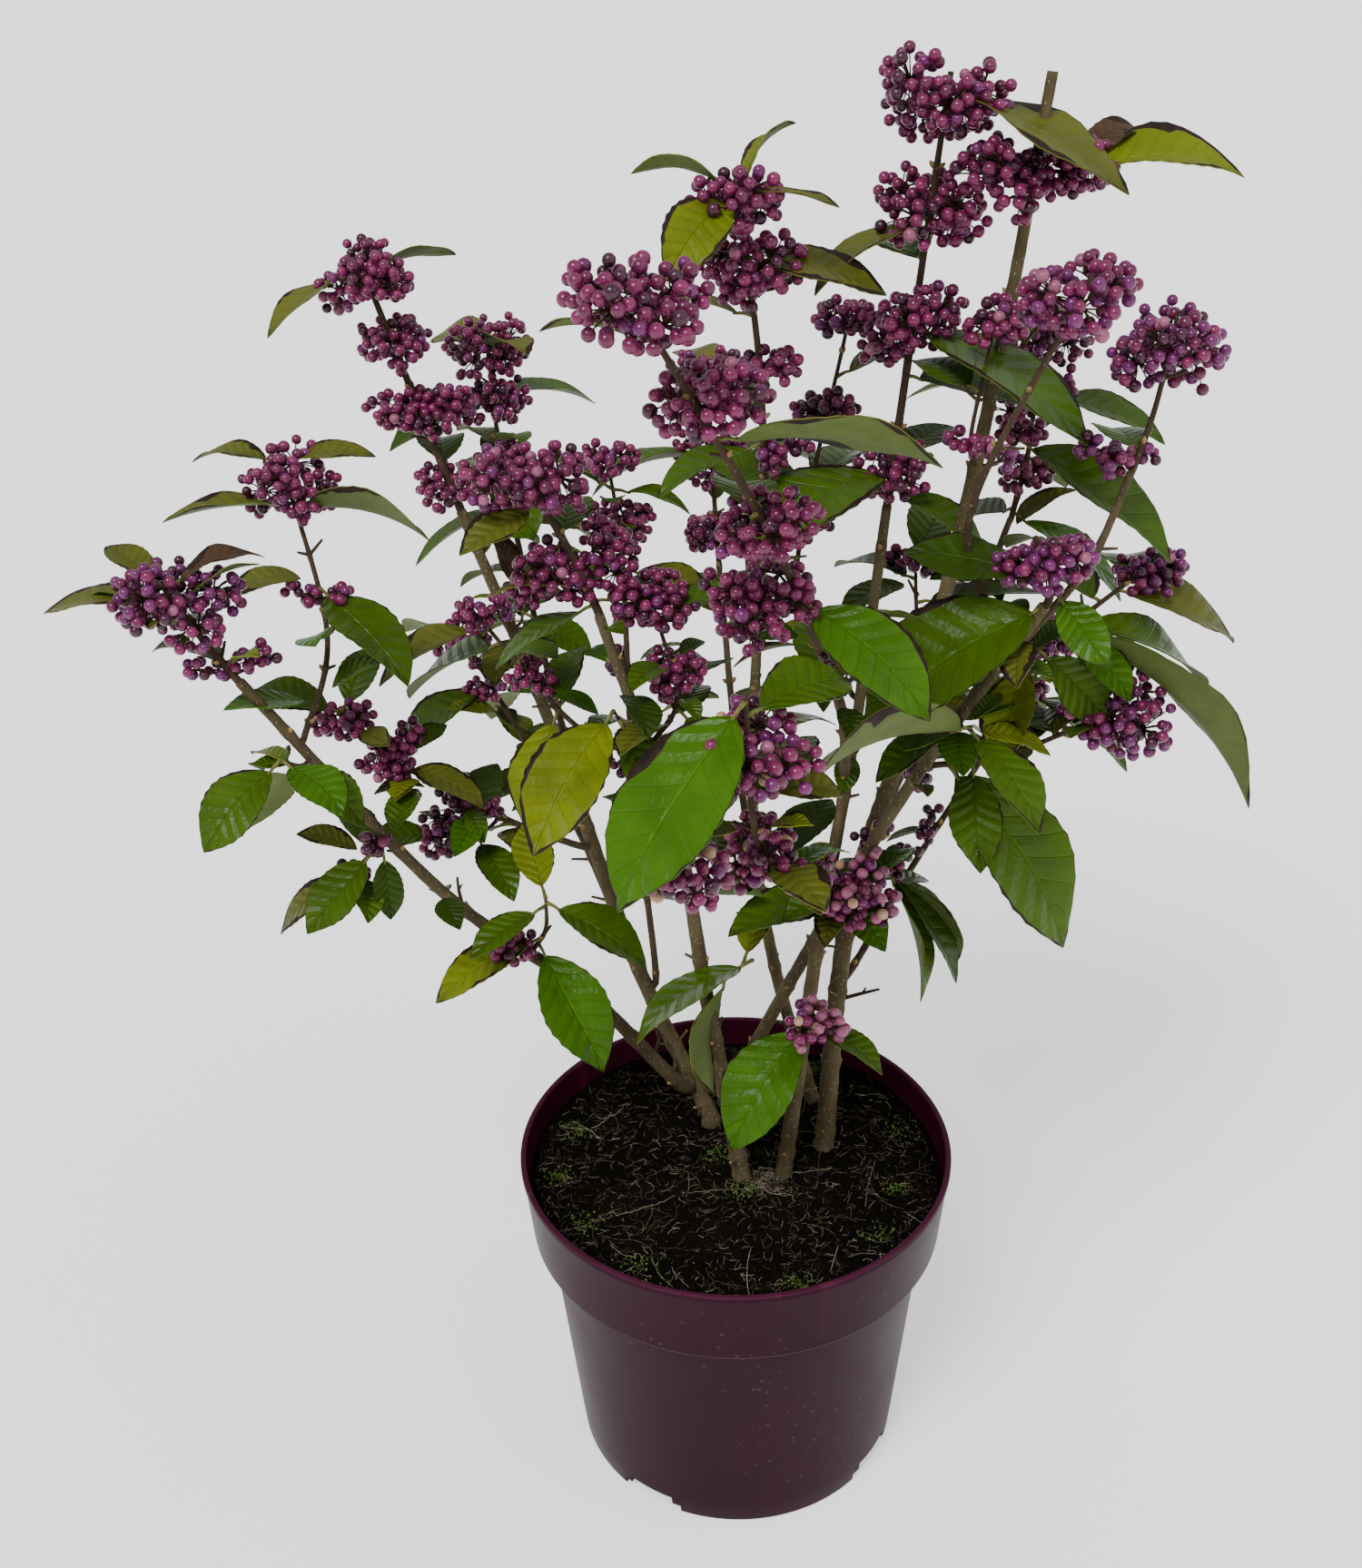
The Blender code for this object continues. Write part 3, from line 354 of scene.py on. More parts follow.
# Where the soil carries a tuft of pale fibre and patches of moss: x, y and spread.
FIBRE_PATCH = (12, -11, 5)
MOSS_PATCHES = (
    (3, -16, 4), (-72, 26, 4), (-66, -34, 4), (-40, -62, 5), (60, -46, 4), (76, 22, 3.5), (-24, 66, 4),
    (24, -72, 4), (-78, -4, 3), (40, 70, 4), (-8, 8, 3), (70, -18, 3),
)

# How far along X, in metres, each part of the crown reaches.
REGIONS = {"left": -0.035, "centre": 0.075, "right": 1.0}


# The pot's small forms: how far the painted highlight on its lip's top reaches down, half the height of the
# painted highlight along the edge under the collar, the height of the band that holds the slots, and the
# roundings.
LIP_HIGHLIGHT_DEPTH = 1.5
COLLAR_HIGHLIGHT_BAND = 0.6
SLOT_BAND = 12.0
LIP_ROUNDING = 0.7
COLLAR_ROUNDING = 0.9
BASE_ROUNDING = 1.0
FLOOR_ROUNDING = 2.0
SLOT_ROUNDING = 4.0
# Lighter copy of the plastic for a thin band at the collar's lower edge: a painted highlight line.
EDGE_HIGHLIGHT_COLOUR = (0.15, 0.09, 0.115)
# Which way a face of the pot looks, as parts of its normal, and up to what height in metres the floor lies.
FACES_INWARD = -0.2
FACES_UP = 0.5
FLOOR_BAND = 0.02


def length_property(name, description, default):
    return FloatProperty(name=name, description=description, default=default, unit="LENGTH")


def colour_property(name, description, default):
    return FloatVectorProperty(name=name, description=description, default=default, subtype="COLOR", size=3)


class PotSettings(bpy.types.PropertyGroup):
    rim_radius: length_property("Rim radius", "Outer radius of the pot's lip", POT_HIGH.x)
    height: length_property("Height", "Height of the pot", POT_HIGH.z)
    steps: IntProperty(name="Steps", description="Facets round the pot", default=144, min=24)
    outer_colour: colour_property("Outside", "Colour of the wall", (0.0205, 0.0043, 0.0098))
    # The lip's colour is a lighter copy of the wall's plastic on the lip's top: a painted highlight.
    lip_highlight_colour: colour_property("Lip", "Colour of the lip", (0.05, 0.009, 0.025))
    inner_colour: colour_property("Inside", "Colour of the inner wall", (0.04, 0.004, 0.014))


class SoilSettings(bpy.types.PropertyGroup):
    relief: length_property("Relief", "Height of the soil's lumps", 0.0016)
    crumbs: FloatProperty(
        name="Crumbs", description="Crumbs on each square metre", default=140000.0)
    crumb_size: length_property("Crumb size", "Largest radius of a crumb", 0.0012)
    fibres: IntProperty(name="Fibres", description="Short pale fibres on the soil", default=2300, min=0)
    roots: IntProperty(name="Roots", description="Long curved roots on the soil", default=70, min=0)
    moss: IntProperty(name="Moss", description="Tufts in each patch of moss", default=46, min=0)
    colour: colour_property("Soil", "Colour of the moist peat", (0.0026, 0.0021, 0.0013))


class LimbSettings(bpy.types.PropertyGroup):
    sides: IntProperty(name="Sides", description="Facets round a stem", default=16, min=6)
    ring_spacing: length_property("Ring spacing", "Distance between rings of a stem", 0.0022)
    internode: length_property("Internode", "Distance between two nodes of a stem", 0.034)
    swelling: FloatProperty(
        name="Swelling", description="How far a node stands out, as a share of the radius", default=0.16)
    bark_colour: colour_property("Bark", "Colour of old bark", (0.098, 0.076, 0.037))
    twig_colour: colour_property("Twig", "Colour of young shoots", (0.052, 0.033, 0.018))


class LeafSettings(bpy.types.PropertyGroup):
    stations: IntProperty(name="Stations", description="Rows of faces along a leaf", default=20, min=6)
    growth: FloatProperty(
        name="Growth", description="Length of a leaf against its place in the table", default=1.0)
    width: FloatProperty(name="Width", description="Width of a leaf against its length", default=0.55)
    thickness: length_property("Thickness", "Thickness of a blade", 0.0004)
    petiole: length_property("Petiole", "Length of a leaf's stalk", 0.006)
    young_share: FloatProperty(
        name="Young leaves", description="Share of the inner nodes that bear a young leaf",
        default=0.6, min=0, max=1)


class BerrySettings(bpy.types.PropertyGroup):
    radius: length_property("Radius", "Mean radius of a berry", 0.0025)
    roundness: IntProperty(name="Roundness", description="Subdivisions of a berry", default=2, min=1)
    growth: FloatProperty(
        name="Growth", description="Width of a bunch against its place in the table", default=1.28)
    fullness: FloatProperty(
        name="Fullness", description="Berries in a bunch, for each squared berry of its width", default=1.15)
    stalk_colour: colour_property("Stalks", "Colour of fruit stalks", (0.04, 0.018, 0.01))


class StageSettings(bpy.types.PropertyGroup):
    floor_size: length_property("Floor", "Side of the floor", 80.0)
    floor_colour: colour_property("Floor colour", "Colour of the floor", (0.9, 0.9, 0.9))
    lens: FloatProperty(name="Lens", description="Focal length of the camera", default=40.3)
    pitch: FloatProperty(
        name="Pitch", description="Angle at which the camera looks down", subtype="ANGLE",
        default=math.radians(28.13))
    roll: FloatProperty(
        name="Roll", description="Turn of the camera about its line of sight", subtype="ANGLE",
        default=math.radians(-1.28))


# Shader maths

class Value:
    """A node's output that takes part in ordinary maths."""

    def __init__(self, finish, socket):
        self.finish = finish
        self.socket = socket

    def maths(self, operation, first, second=None):
        values = [first] if second is None else [first, second]
        node = self.finish.node("ShaderNodeMath", {"operation": operation}, dict(enumerate(values)))
        return Value(self.finish, node.outputs[0])

    def __add__(self, other):
        return self.maths("ADD", self, other)

    def __radd__(self, other):
        return self.maths("ADD", other, self)

    def __sub__(self, other):
        return self.maths("SUBTRACT", self, other)

    def __rsub__(self, other):
        return self.maths("SUBTRACT", other, self)

    def __mul__(self, other):
        return self.maths("MULTIPLY", self, other)

    def __rmul__(self, other):
        return self.maths("MULTIPLY", other, self)

    def __gt__(self, other):
        return self.maths("GREATER_THAN", self, other)

    def __lt__(self, other):
        return self.maths("LESS_THAN", self, other)

    def __abs__(self):
        return self.maths("ABSOLUTE", self)

    def fraction(self):
        return self.maths("FRACT", self)

    def clamped(self):
        node = self.finish.node("ShaderNodeClamp", {}, {"Value": self})
        return Value(self.finish, node.outputs[0])


class Finish:
    """A procedural material in the making."""

    def __init__(self, name, roughness, coat=0.0, specular=0.5):
        self.material = bpy.data.materials.new(name)
        self.material.use_nodes = True
        self.tree = self.material.node_tree
        self.shader = self.tree.nodes["Principled BSDF"]
        self.shader.inputs["Roughness"].default_value = roughness
        self.shader.inputs["Coat Weight"].default_value = coat
        self.shader.inputs["Specular IOR Level"].default_value = specular

    def node(self, kind, settings, values):
        node = self.tree.nodes.new(kind)
        for name, setting in settings.items():
            setattr(node, name, setting)
        for name, value in values.items():
            self.feed(node.inputs[name], value)
        return node

    def feed(self, socket, value):
        if isinstance(value, Value):
            value = value.socket
        if isinstance(value, bpy.types.NodeSocket):
            self.tree.links.new(value, socket)
        elif hasattr(value, "__len__") and len(value) == 3 and len(socket.default_value) == 4:
            socket.default_value = (*value, 1.0)
        else:
            socket.default_value = value

    def place(self, stretch=(1.0, 1.0, 1.0)):
        """Object coordinates, stretched along the axes."""
        coordinates = self.node("ShaderNodeTexCoord", {}, {})
        mapping = self.node("ShaderNodeMapping", {}, {
            "Vector": coordinates.outputs["Object"], "Scale": stretch})
        return mapping.outputs["Vector"]

    def noise(self, scale, detail=3.0, stretch=(1.0, 1.0, 1.0)):
        node = self.node("ShaderNodeTexNoise", {}, {
            "Vector": self.place(stretch), "Scale": scale, "Detail": detail})
        return Value(self, node.outputs["Fac"])

    def spots(self, scale, stretch=(1.0, 1.0, 1.0)):
        node = self.node("ShaderNodeTexVoronoi", {}, {"Vector": self.place(stretch), "Scale": scale})
        return Value(self, node.outputs["Distance"])

    def uv(self):
        coordinates = self.node("ShaderNodeTexCoord", {}, {})
        parts = self.node("ShaderNodeSeparateXYZ", {}, {"Vector": coordinates.outputs["UV"]})
        return Value(self, parts.outputs["X"]), Value(self, parts.outputs["Y"])

    def mixed(self, share, first, second):
        node = self.node("ShaderNodeMix", {"data_type": "RGBA"}, {0: share, 6: first, 7: second})
        return node.outputs[2]

    def colour(self, value):
        self.feed(self.shader.inputs["Base Color"], value)

    def roughness(self, value):
        self.feed(self.shader.inputs["Roughness"], value)

    def bump(self, height, distance, strength=1.0):
        node = self.node("ShaderNodeBump", {}, {"Height": height, "Distance": distance, "Strength": strength})
        self.feed(self.shader.inputs["Normal"], node.outputs["Normal"])


def shade(colour, factor):
    return tuple(part * factor for part in colour)


def contrast(value, middle, sharpness):
    """The value's difference from a middle, sharpened and kept between 0 and 1."""
    return ((value - middle) * sharpness + 0.5).clamped()


def plastic_finish(name, colour):
    """Satin moulded plastic with smudges of dust, faint scratches and soil specks."""
    finish = Finish(name, 0.48, specular=0.035)
    smudge = contrast(finish.noise(14, 5), 0.58, 3.5)
    scratch = contrast(finish.noise(60, 2, (1, 1, 0.05)), 0.68, 16)
    speck = contrast(finish.spots(110), 0.12, -24) * contrast(finish.noise(30, 1), 0.6, 12)
    dust = contrast(finish.spots(190), 0.16, -14) * contrast(finish.noise(16, 3), 0.56, 8)
    tone = finish.mixed(smudge, shade(colour, 0.92), shade(colour, 1.25))
    tone = finish.mixed(scratch * 0.25, tone, shade(colour, 3.0))
    tone = finish.mixed(dust * 0.35, tone, (0.08, 0.062, 0.062))
    finish.colour(finish.mixed(speck, tone, (0.008, 0.006, 0.005)))
    finish.roughness(0.38 + smudge * 0.1 + scratch * 0.1)
    finish.bump(finish.noise(900, 1) * 0.5 + finish.noise(24, 2), 0.0003, 0.35)
    return finish.material


def soil_finish(name, colour):
    """Moist peat: nearly black, with paler crumbs and fibres."""
    finish = Finish(name, 0.95, specular=0.03)
    lumps = finish.noise(260, 5)
    pale = contrast(finish.noise(700, 3), 0.64, 9)
    warm = contrast(finish.noise(40, 3), 0.55, 5)
    tone = finish.mixed(lumps, shade(colour, 0.4), shade(colour, 2.0))
    tone = finish.mixed(warm * 0.5, tone, shade(colour, 2.6))
    finish.colour(finish.mixed(pale * 0.35, tone, shade(colour, 7)))
    finish.bump(lumps + finish.noise(1200, 2) * 0.4, 0.0012)
    return finish.material


def bark_finish(name, colour, pore_share):
    """Grey-brown bark: streaks along the stem, darker patches and pale pores."""
    finish = Finish(name, 0.8, specular=0.15)
    streak = finish.noise(420, 4, (1, 1, 0.12))
    patch = contrast(finish.noise(70, 3), 0.52, 4)
    pore = contrast(finish.spots(560, (1, 1, 0.6)), 0.22, -14)
    tone = finish.mixed(streak, shade(colour, 0.5), shade(colour, 1.5))
    tone = finish.mixed(patch * 0.6, tone, shade(colour, 0.5))
    finish.colour(finish.mixed(pore * pore_share, tone, (0.26, 0.21, 0.13)))
    finish.bump(streak + pore * 0.6 + finish.noise(160, 3) * 0.5, 0.0008)
    return finish.material


def leaf_finish(name, colour, shine):
    """A leaf's upper face: paler veins, quilting between them and blotches."""
    finish = Finish(name, shine, specular=0.16)
    across, ahead = finish.uv()
    side = abs(across * 2 - 1)
    rib = contrast(side, 0.03, -26)
    phase = ((ahead - side * 0.2 + side * side * 0.05) * 8).fraction()
    vein = contrast(abs(phase - 0.5), 0.462, 24)
    blotch = contrast(finish.noise(60, 3), 0.5, 2.5)
    fleck = contrast(finish.spots(300), 0.12, -16) * contrast(finish.noise(60, 2), 0.57, 10)
    tone = finish.mixed(blotch, shade(colour, 0.78), shade(colour, 1.18))
    tone = finish.mixed((rib + vein * 0.5).clamped() * 0.45, tone, shade(colour, 1.7))
    finish.colour(finish.mixed(fleck * 0.6, tone, (0.025, 0.015, 0.008)))
    finish.roughness(shine + blotch * 0.14)
    pillow = 1 - abs(phase - 0.5) * 2
    finish.bump(pillow * 0.8 - vein * 0.4 - rib * 0.8 + finish.noise(420, 2) * 0.7, 0.0006)
    return finish.material


def plain_finish(name, colour, roughness, scale, change=0.35):
    """A matt skin whose tone varies a little."""
    finish = Finish(name, roughness, specular=0.15)
    tone = contrast(finish.noise(scale, 3), 0.5, 3)
    finish.colour(finish.mixed(tone, shade(colour, 1 - change), shade(colour, 1 + change)))
    finish.bump(finish.noise(scale * 3, 2), 0.0003)
    return finish.material


def berry_finish(name, colour, roughness):
    """A waxy berry with a little change of tone from one to the next."""
    finish = Finish(name, roughness, specular=0.45)
    tone = contrast(finish.noise(150, 1), 0.5, 3)
    bloom = contrast(finish.noise(700, 2), 0.58, 6)
    mixed = finish.mixed(tone, shade(colour, 0.8), shade(colour, 1.25))
    finish.colour(finish.mixed(bloom * 0.15, mixed, shade(colour, 1.7)))
    finish.roughness(roughness + bloom * 0.15)
    return finish.material


# Mesh making

class Mesh:
    """Corners, faces, material slots and UVs gathered for one piece."""

    def __init__(self):
        self.corners = []
        self.faces = []
        self.slots = []
        self.uvs = []

    def face(self, corners, slot=0, uvs=None):
        self.faces.append(corners)
        self.slots.append(slot)
        self.uvs.append(uvs or [(0.5, 0.5)] * len(corners))

    def tube(self, path, radii, sides, slot=0, end_slot=None):
        """A closed tube along a path."""
        ahead = (path[1] - path[0]).normalized()
        side = ahead.orthogonal().normalized()
        first = len(self.corners)
        for index, (point, radius) in enumerate(zip(path, radii)):
            before, after = path[max(index - 1, 0)], path[min(index + 1, len(path) - 1)]
            ahead = (after - before).normalized()
            side = (side - ahead * side.dot(ahead)).normalized()
            other = ahead.cross(side)
            for step in range(sides):
                angle = 2 * math.pi * step / sides
                reach = radius(angle) if callable(radius) else radius
                self.corners.append(point + (side * math.cos(angle) + other * math.sin(angle)) * reach)
        for index in range(len(path) - 1):
            ring = first + index * sides
            for step in range(sides):
                near, far = ring + step, ring + (step + 1) % sides
                self.face((near, far, far + sides, near + sides), slot)
        last = first + (len(path) - 1) * sides
        self.face(tuple(range(first + sides - 1, first - 1, -1)), slot)
        self.face(tuple(range(last, last + sides)), slot if end_slot is None else end_slot)

    def piece(self, name, materials, slot, smooth=True):
        mesh = bpy.data.meshes.new(name)
        mesh.from_pydata([tuple(corner) for corner in self.corners], [], self.faces)
        mesh.polygons.foreach_set("material_index", self.slots)
        layer = mesh.uv_layers.new(name="UVMap")
        layer.data.foreach_set("uv", [part for uvs in self.uvs for uv in uvs for part in uv])
        for material in materials:
            mesh.materials.append(material)
        if smooth:
            mesh.shade_smooth()
        return finished(name, mesh)


def finished(name, mesh):
    """Links a finished mesh as a piece that rides on the pot's body."""
    piece = bpy.data.objects.new(name, mesh)
    bpy.context.scene.collection.objects.link(piece)
    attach(piece, BODY)
    return piece


def plain_mesh(thing, name):
    """The evaluated mesh of a helper, which is removed."""
    depsgraph = bpy.context.evaluated_depsgraph_get()
    depsgraph.update()
    mesh = bpy.data.meshes.new_from_object(thing.evaluated_get(depsgraph))
    mesh.name = name
    bpy.data.objects.remove(thing, do_unlink=True)
    return mesh


def helper(name, mesh):
    thing = bpy.data.objects.new(name, mesh)
    bpy.context.scene.collection.objects.link(thing)
    return thing


# Growth: paths of limbs and shoots, by the part's rule

# Steps of a curve between two guides, points of a finished path, height of a stem's upright start, where a
# branch starts inside its carrier, how far it bends, and how thin a shoot's tip is.
CURVE_STEPS = 24
STEM_POINTS, BOUGH_POINTS, SHOOT_POINTS = 120, 90, 60
UPRIGHT_START = 4
INNER_START = 0.3
BEND_REACH = 0.35
TWIG_TAPER = 0.6
LAST_LEAF = 0.985
# Where along a limb or shoot its part of the crown is judged.
LIMB_MIDDLE = 0.8
SHOOT_MIDDLE = 0.7


def vec(values):
    return Vector(values) * MM


def heading_vector(heading, rise):
    flat = math.cos(math.radians(rise))
    return Vector((flat * math.cos(math.radians(heading)), flat * math.sin(math.radians(heading)),
                   math.sin(math.radians(rise))))


def smooth_path(points, count):
    """A curve through the points, sampled at even steps of its length."""
    ends = [points[0] * 2 - points[1], *points, points[-1] * 2 - points[-2]]
    dense = []
    for index in range(1, len(ends) - 2):
        before, start, end, after = ends[index - 1:index + 3]
        for step in range(CURVE_STEPS):
            t = step / CURVE_STEPS
            square = (2 * before - 5 * start + 4 * end - after) * t ** 2
            cube = (3 * start - before - 3 * end + after) * t ** 3
            dense.append(0.5 * (2 * start + (end - before) * t + square + cube))
    dense.append(points[-1])
    lengths = [0.0]
    for index in range(len(dense) - 1):
        lengths.append(lengths[-1] + (dense[index + 1] - dense[index]).length)
    path = []
    spot = 0
    for index in range(count):
        wanted = lengths[-1] * index / (count - 1)
        while spot < len(dense) - 2 and lengths[spot + 1] < wanted:
            spot += 1
        span = max(lengths[spot + 1] - lengths[spot], 1e-9)
        path.append(dense[spot].lerp(dense[spot + 1], min((wanted - lengths[spot]) / span, 1.0)))
    return path


def path_length(path):
    return sum((path[index + 1] - path[index]).length for index in range(len(path) - 1))


def along(path, place):
    """The point at a share of an evenly sampled path."""
    spot = place * (len(path) - 1)
    index = min(int(spot), len(path) - 2)
    return path[index].lerp(path[index + 1], spot - index)


def taper(first, last, count):
    return [(first + (last - first) * index / (count - 1)) * MM / 2 for index in range(count)]


def at_height(limb, height):
    """The point, direction and radius of a limb at a height."""
    path, radii = limb
    for index in range(len(path) - 1):
        low, high = path[index].z, path[index + 1].z
        if low <= height <= high and high > low:
            direction = (path[index + 1] - path[index]).normalized()
            return path[index].lerp(path[index + 1], (height - low) / (high - low)), direction, radii[index]
    raise ValueError("no such height on the limb")


def side_path(limb, height, guides, tip, diameter, count):
    """A path that leaves a limb squarely from its middle and runs through the guides to the tip."""
    point, direction, radius = at_height(limb, height * MM)
    target = guides[0] if guides else tip
    outward = target - point
    outward = (outward - direction * outward.dot(direction)).normalized()
    start = point + outward * (radius + GAP * MM)
    lead = start + outward * SQUARE_START * diameter * MM
    inner = point + outward * radius * INNER_START
    return smooth_path([inner, lead, *(guides or bend(lead, outward, tip)), tip], count)


def bend(lead, outward, tip):
    """The middle guide of a shoot that has none of its own."""
    handle = lead + outward * (tip - lead).length * BEND_REACH
    return [lead.lerp(handle, 0.5).lerp(handle.lerp(tip, 0.5), 0.5)]


def grow_limbs():
    """Paths and radii of the stems and boughs, by name."""
    limbs = {}
    for name, (foot, guides, tip, first, last) in STEMS.items():
        start = Vector((*foot, SOIL_TOP)) * MM
        lead = start + Vector((0, 0, UPRIGHT_START * MM))
        path = smooth_path([start, lead, *map(vec, guides), vec(tip)], STEM_POINTS)
        limbs[name] = path, taper(first, last, len(path))
    for name, (carrier, height, guides, tip, first, last) in BOUGHS.items():
        guides = [vec(guide) for guide in guides]
        path = side_path(limbs[carrier], height, guides, vec(tip), first, BOUGH_POINTS)
        limbs[name] = path, taper(first, last, len(path))
    return limbs


def grow_shoots(limbs):
    """Paths and radii of the shoots, by name."""
    shoots = {}
    for name, (carrier, height, tip, diameter, _, _) in SHOOTS.items():
        tip = vec(tip)
        if height is None:
            path = limbs[carrier][0]
            outward = (path[-1] - path[-2]).normalized()
            lead = path[-1] + outward * SQUARE_START * diameter * MM
            start = path[-1] - outward * MM
            path = smooth_path([start, lead, *bend(lead, outward, tip), tip], SHOOT_POINTS)
        else:
            path = side_path(limbs[carrier], height, [], tip, diameter, SHOOT_POINTS)
        shoots[name] = path, taper(diameter, diameter * TWIG_TAPER, len(path))
    return shoots


LIMBS = grow_limbs()
SHOOT_PATHS = grow_shoots(LIMBS)


def region_of(name, spot):
    """The part of the crown in which the leaves of a shoot or limb lie, by a spot on it."""
    if name.startswith("rear") or "_rear_" in name:
        return "rear"
    return next(region for region, limit in REGIONS.items() if spot.x < limit)


# Operators

class BEAUTYBERRY_OT_pot(bpy.types.Operator):
    """Turns the pot, cuts the slots at its foot and gives wall and inside their plastics, with painted
    highlights on the lip's top and along the collar's lower edge
    """
    bl_idname = "beautyberry.pot"
    bl_label = "Pot"

    def execute(self, context):
        settings = context.scene.beautyberry_pot
        profile = pot_profile(settings.rim_radius, settings.height)
        mesh = bpy.data.meshes.new("pot_profile")
        mesh.from_pydata([(radius, 0, height) for radius, height in profile],
                         [(index, index + 1) for index in range(len(profile) - 1)], [])
        turned = helper("pot_profile", mesh)
        screw = turned.modifiers.new("turn", "SCREW")
        screw.steps = settings.steps
        screw.render_steps = settings.steps
        screw.use_merge_vertices = True
        screw.merge_threshold = 0.00001
        slots = [slot_cutter(index) for index in range(SLOT_COUNT)]
        for slot in slots:
            cut = turned.modifiers.new("slot", "BOOLEAN")
            cut.object = slot
            cut.solver = "EXACT"
        mesh = plain_mesh(turned, "pot_shell")
        for slot in slots:
            bpy.data.objects.remove(slot, do_unlink=True)
        mesh.materials.clear()
        # The lip's top and a thin band at the collar's lower edge take lighter copies of the wall's plastic:
        # painted highlights.
        for part, colour in (("outside", settings.outer_colour), ("lip", settings.lip_highlight_colour),
                             ("inside", settings.inner_colour), ("edge", EDGE_HIGHLIGHT_COLOUR)):
            mesh.materials.append(plastic_finish(f"pot_plastic_{part}", colour))
        collar_foot = settings.height - COLLAR_HEIGHT * MM
        for face in mesh.polygons:
            out = Vector((face.center.x, face.center.y, 0)).normalized().dot(face.normal)
            # The lip's top faces get the painted highlight.
            if face.center.z > settings.height - LIP_HIGHLIGHT_DEPTH * MM:
                face.material_index = 1
            # Outward faces in a thin band at the collar's lower edge get the painted highlight.
            elif out > 0 and abs(face.center.z - collar_foot) < COLLAR_HIGHLIGHT_BAND * MM:
                face.material_index = 3
            elif out < FACES_INWARD or (face.normal.z > FACES_UP and face.center.z < FLOOR_BAND):
                face.material_index = 2
            else:
                face.material_index = 0
        mesh.shade_smooth()
        mesh.set_sharp_from_angle(angle=math.radians(40))
        piece = finished("pot_shell", mesh)
        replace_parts(piece, "pot")
        return {"FINISHED"}


def inner_radius(height):
    share = height / (POT_HEIGHT - COLLAR_HEIGHT)
    return BASE_RADIUS + (SHOULDER_RADIUS - BASE_RADIUS) * share - WALL


def arc(centre, radius, first, last, count):
    """Points of a small arc in the profile, by angles in degrees."""
    return [(centre[0] + radius * math.cos(math.radians(first + (last - first) * index / count)),
             centre[1] + radius * math.sin(math.radians(first + (last - first) * index / count)))
            for index in range(count + 1)]


def pot_profile(rim_radius, height):
    """The pot's section in metres: up the inside, over the rolled lip and down the outside."""
    rim = rim_radius / MM
    top = height / MM
    shoulder = top - COLLAR_HEIGHT
    lip, collar, base = LIP_ROUNDING, COLLAR_ROUNDING, BASE_ROUNDING
    points = [
        (0, FLOOR), (inner_radius(FLOOR) - FLOOR_ROUNDING, FLOOR),
        (inner_radius(FLOOR + FLOOR_ROUNDING), FLOOR + FLOOR_ROUNDING), (inner_radius(SLOT_BAND), SLOT_BAND),
        (inner_radius(shoulder), shoulder - WALL / 2), (COLLAR_FOOT_RADIUS - WALL, shoulder + WALL),
        (rim - LIP_STANDS_OUT - WALL, top - LIP),
        *arc((rim - LIP_STANDS_OUT - WALL + lip, top - lip), lip, 180, 90, 3),
        *arc((rim - lip, top - lip), lip, 90, 0, 4), *arc((rim - lip, top - LIP + lip), lip, 0, -80, 3),
        (rim - LIP_STANDS_OUT, top - LIP - 0.3),
        *arc((COLLAR_FOOT_RADIUS - collar, shoulder + collar), collar, 0, -90, 4),
        (SHOULDER_RADIUS + 0.6, shoulder - 0.2), (SHOULDER_RADIUS, shoulder - WALL),
        (BASE_RADIUS + (SHOULDER_RADIUS - BASE_RADIUS) * SLOT_BAND / shoulder, SLOT_BAND),
        *arc((BASE_RADIUS - base, base), base, -10, -90, 4), (0, 0),
    ]
    return [(radius * MM, level * MM) for radius, level in points]


def slot_cutter(index):
    """A block with a rounded upper edge that cuts one slot at the pot's foot."""
    angle = math.radians(SLOT_TURN + index * 360 / SLOT_COUNT)
    shape = bmesh.new()
    bmesh.ops.create_cube(shape, size=1.0, matrix=Matrix.Diagonal(
        (2 * SLOT_DEPTH * MM, SLOT_WIDTH * MM, 2 * SLOT_HEIGHT * MM, 1)))
    edges = [edge for edge in shape.edges if abs((edge.verts[0].co - edge.verts[1].co).normalized().x) > 0.9]
    bmesh.ops.bevel(shape, geom=edges, offset=SLOT_ROUNDING * MM, segments=4, affect="EDGES")
    place = Matrix.Rotation(angle, 4, "Z") @ Matrix.Translation((BASE_RADIUS * MM, 0, 0))
    bmesh.ops.transform(shape, matrix=place, verts=shape.verts)
    mesh = bpy.data.meshes.new("slot")
    shape.to_mesh(mesh)
    shape.free()
    return helper(f"slot_{index + 1}", mesh)


class BEAUTYBERRY_OT_soil(bpy.types.Operator):
    """Fills the pot with lumpy peat, and strews crumbs, fine roots and moss over it"""
    bl_idname = "beautyberry.soil"
    bl_label = "Soil"

    def execute(self, context):
        settings = context.scene.beautyberry_soil
        rng = random.Random(SEED)
        soil = soil_finish("moist_peat", settings.colour)
        crumb = soil_finish("peat_crumb", shade(settings.colour, 2.2))
        bed = soil_bed(settings.relief)
        piece = bed.piece("soil_bed", [soil], "soil")
        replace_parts(piece, "potting_soil")
        strew_crumbs(piece, settings, crumb)
        strew_roots(settings, rng)
        strew_moss(settings, rng)
        return {"FINISHED"}


# Lumps of the soil's top: how many to a metre, their share of the relief, and where in the noise they lie.
# Then how far the top sinks, its rings and steps, and how far down its rim turns to the pot's wall.
SOIL_LUMPS = ((45, 0.8, 3.1), (160, 0.6, 7.7), (420, 0.3, 1.3))
SOIL_SINKS = 0.5
SOIL_RINGS, SOIL_STEPS = 56, 150
SOIL_WALL_TOP = 4


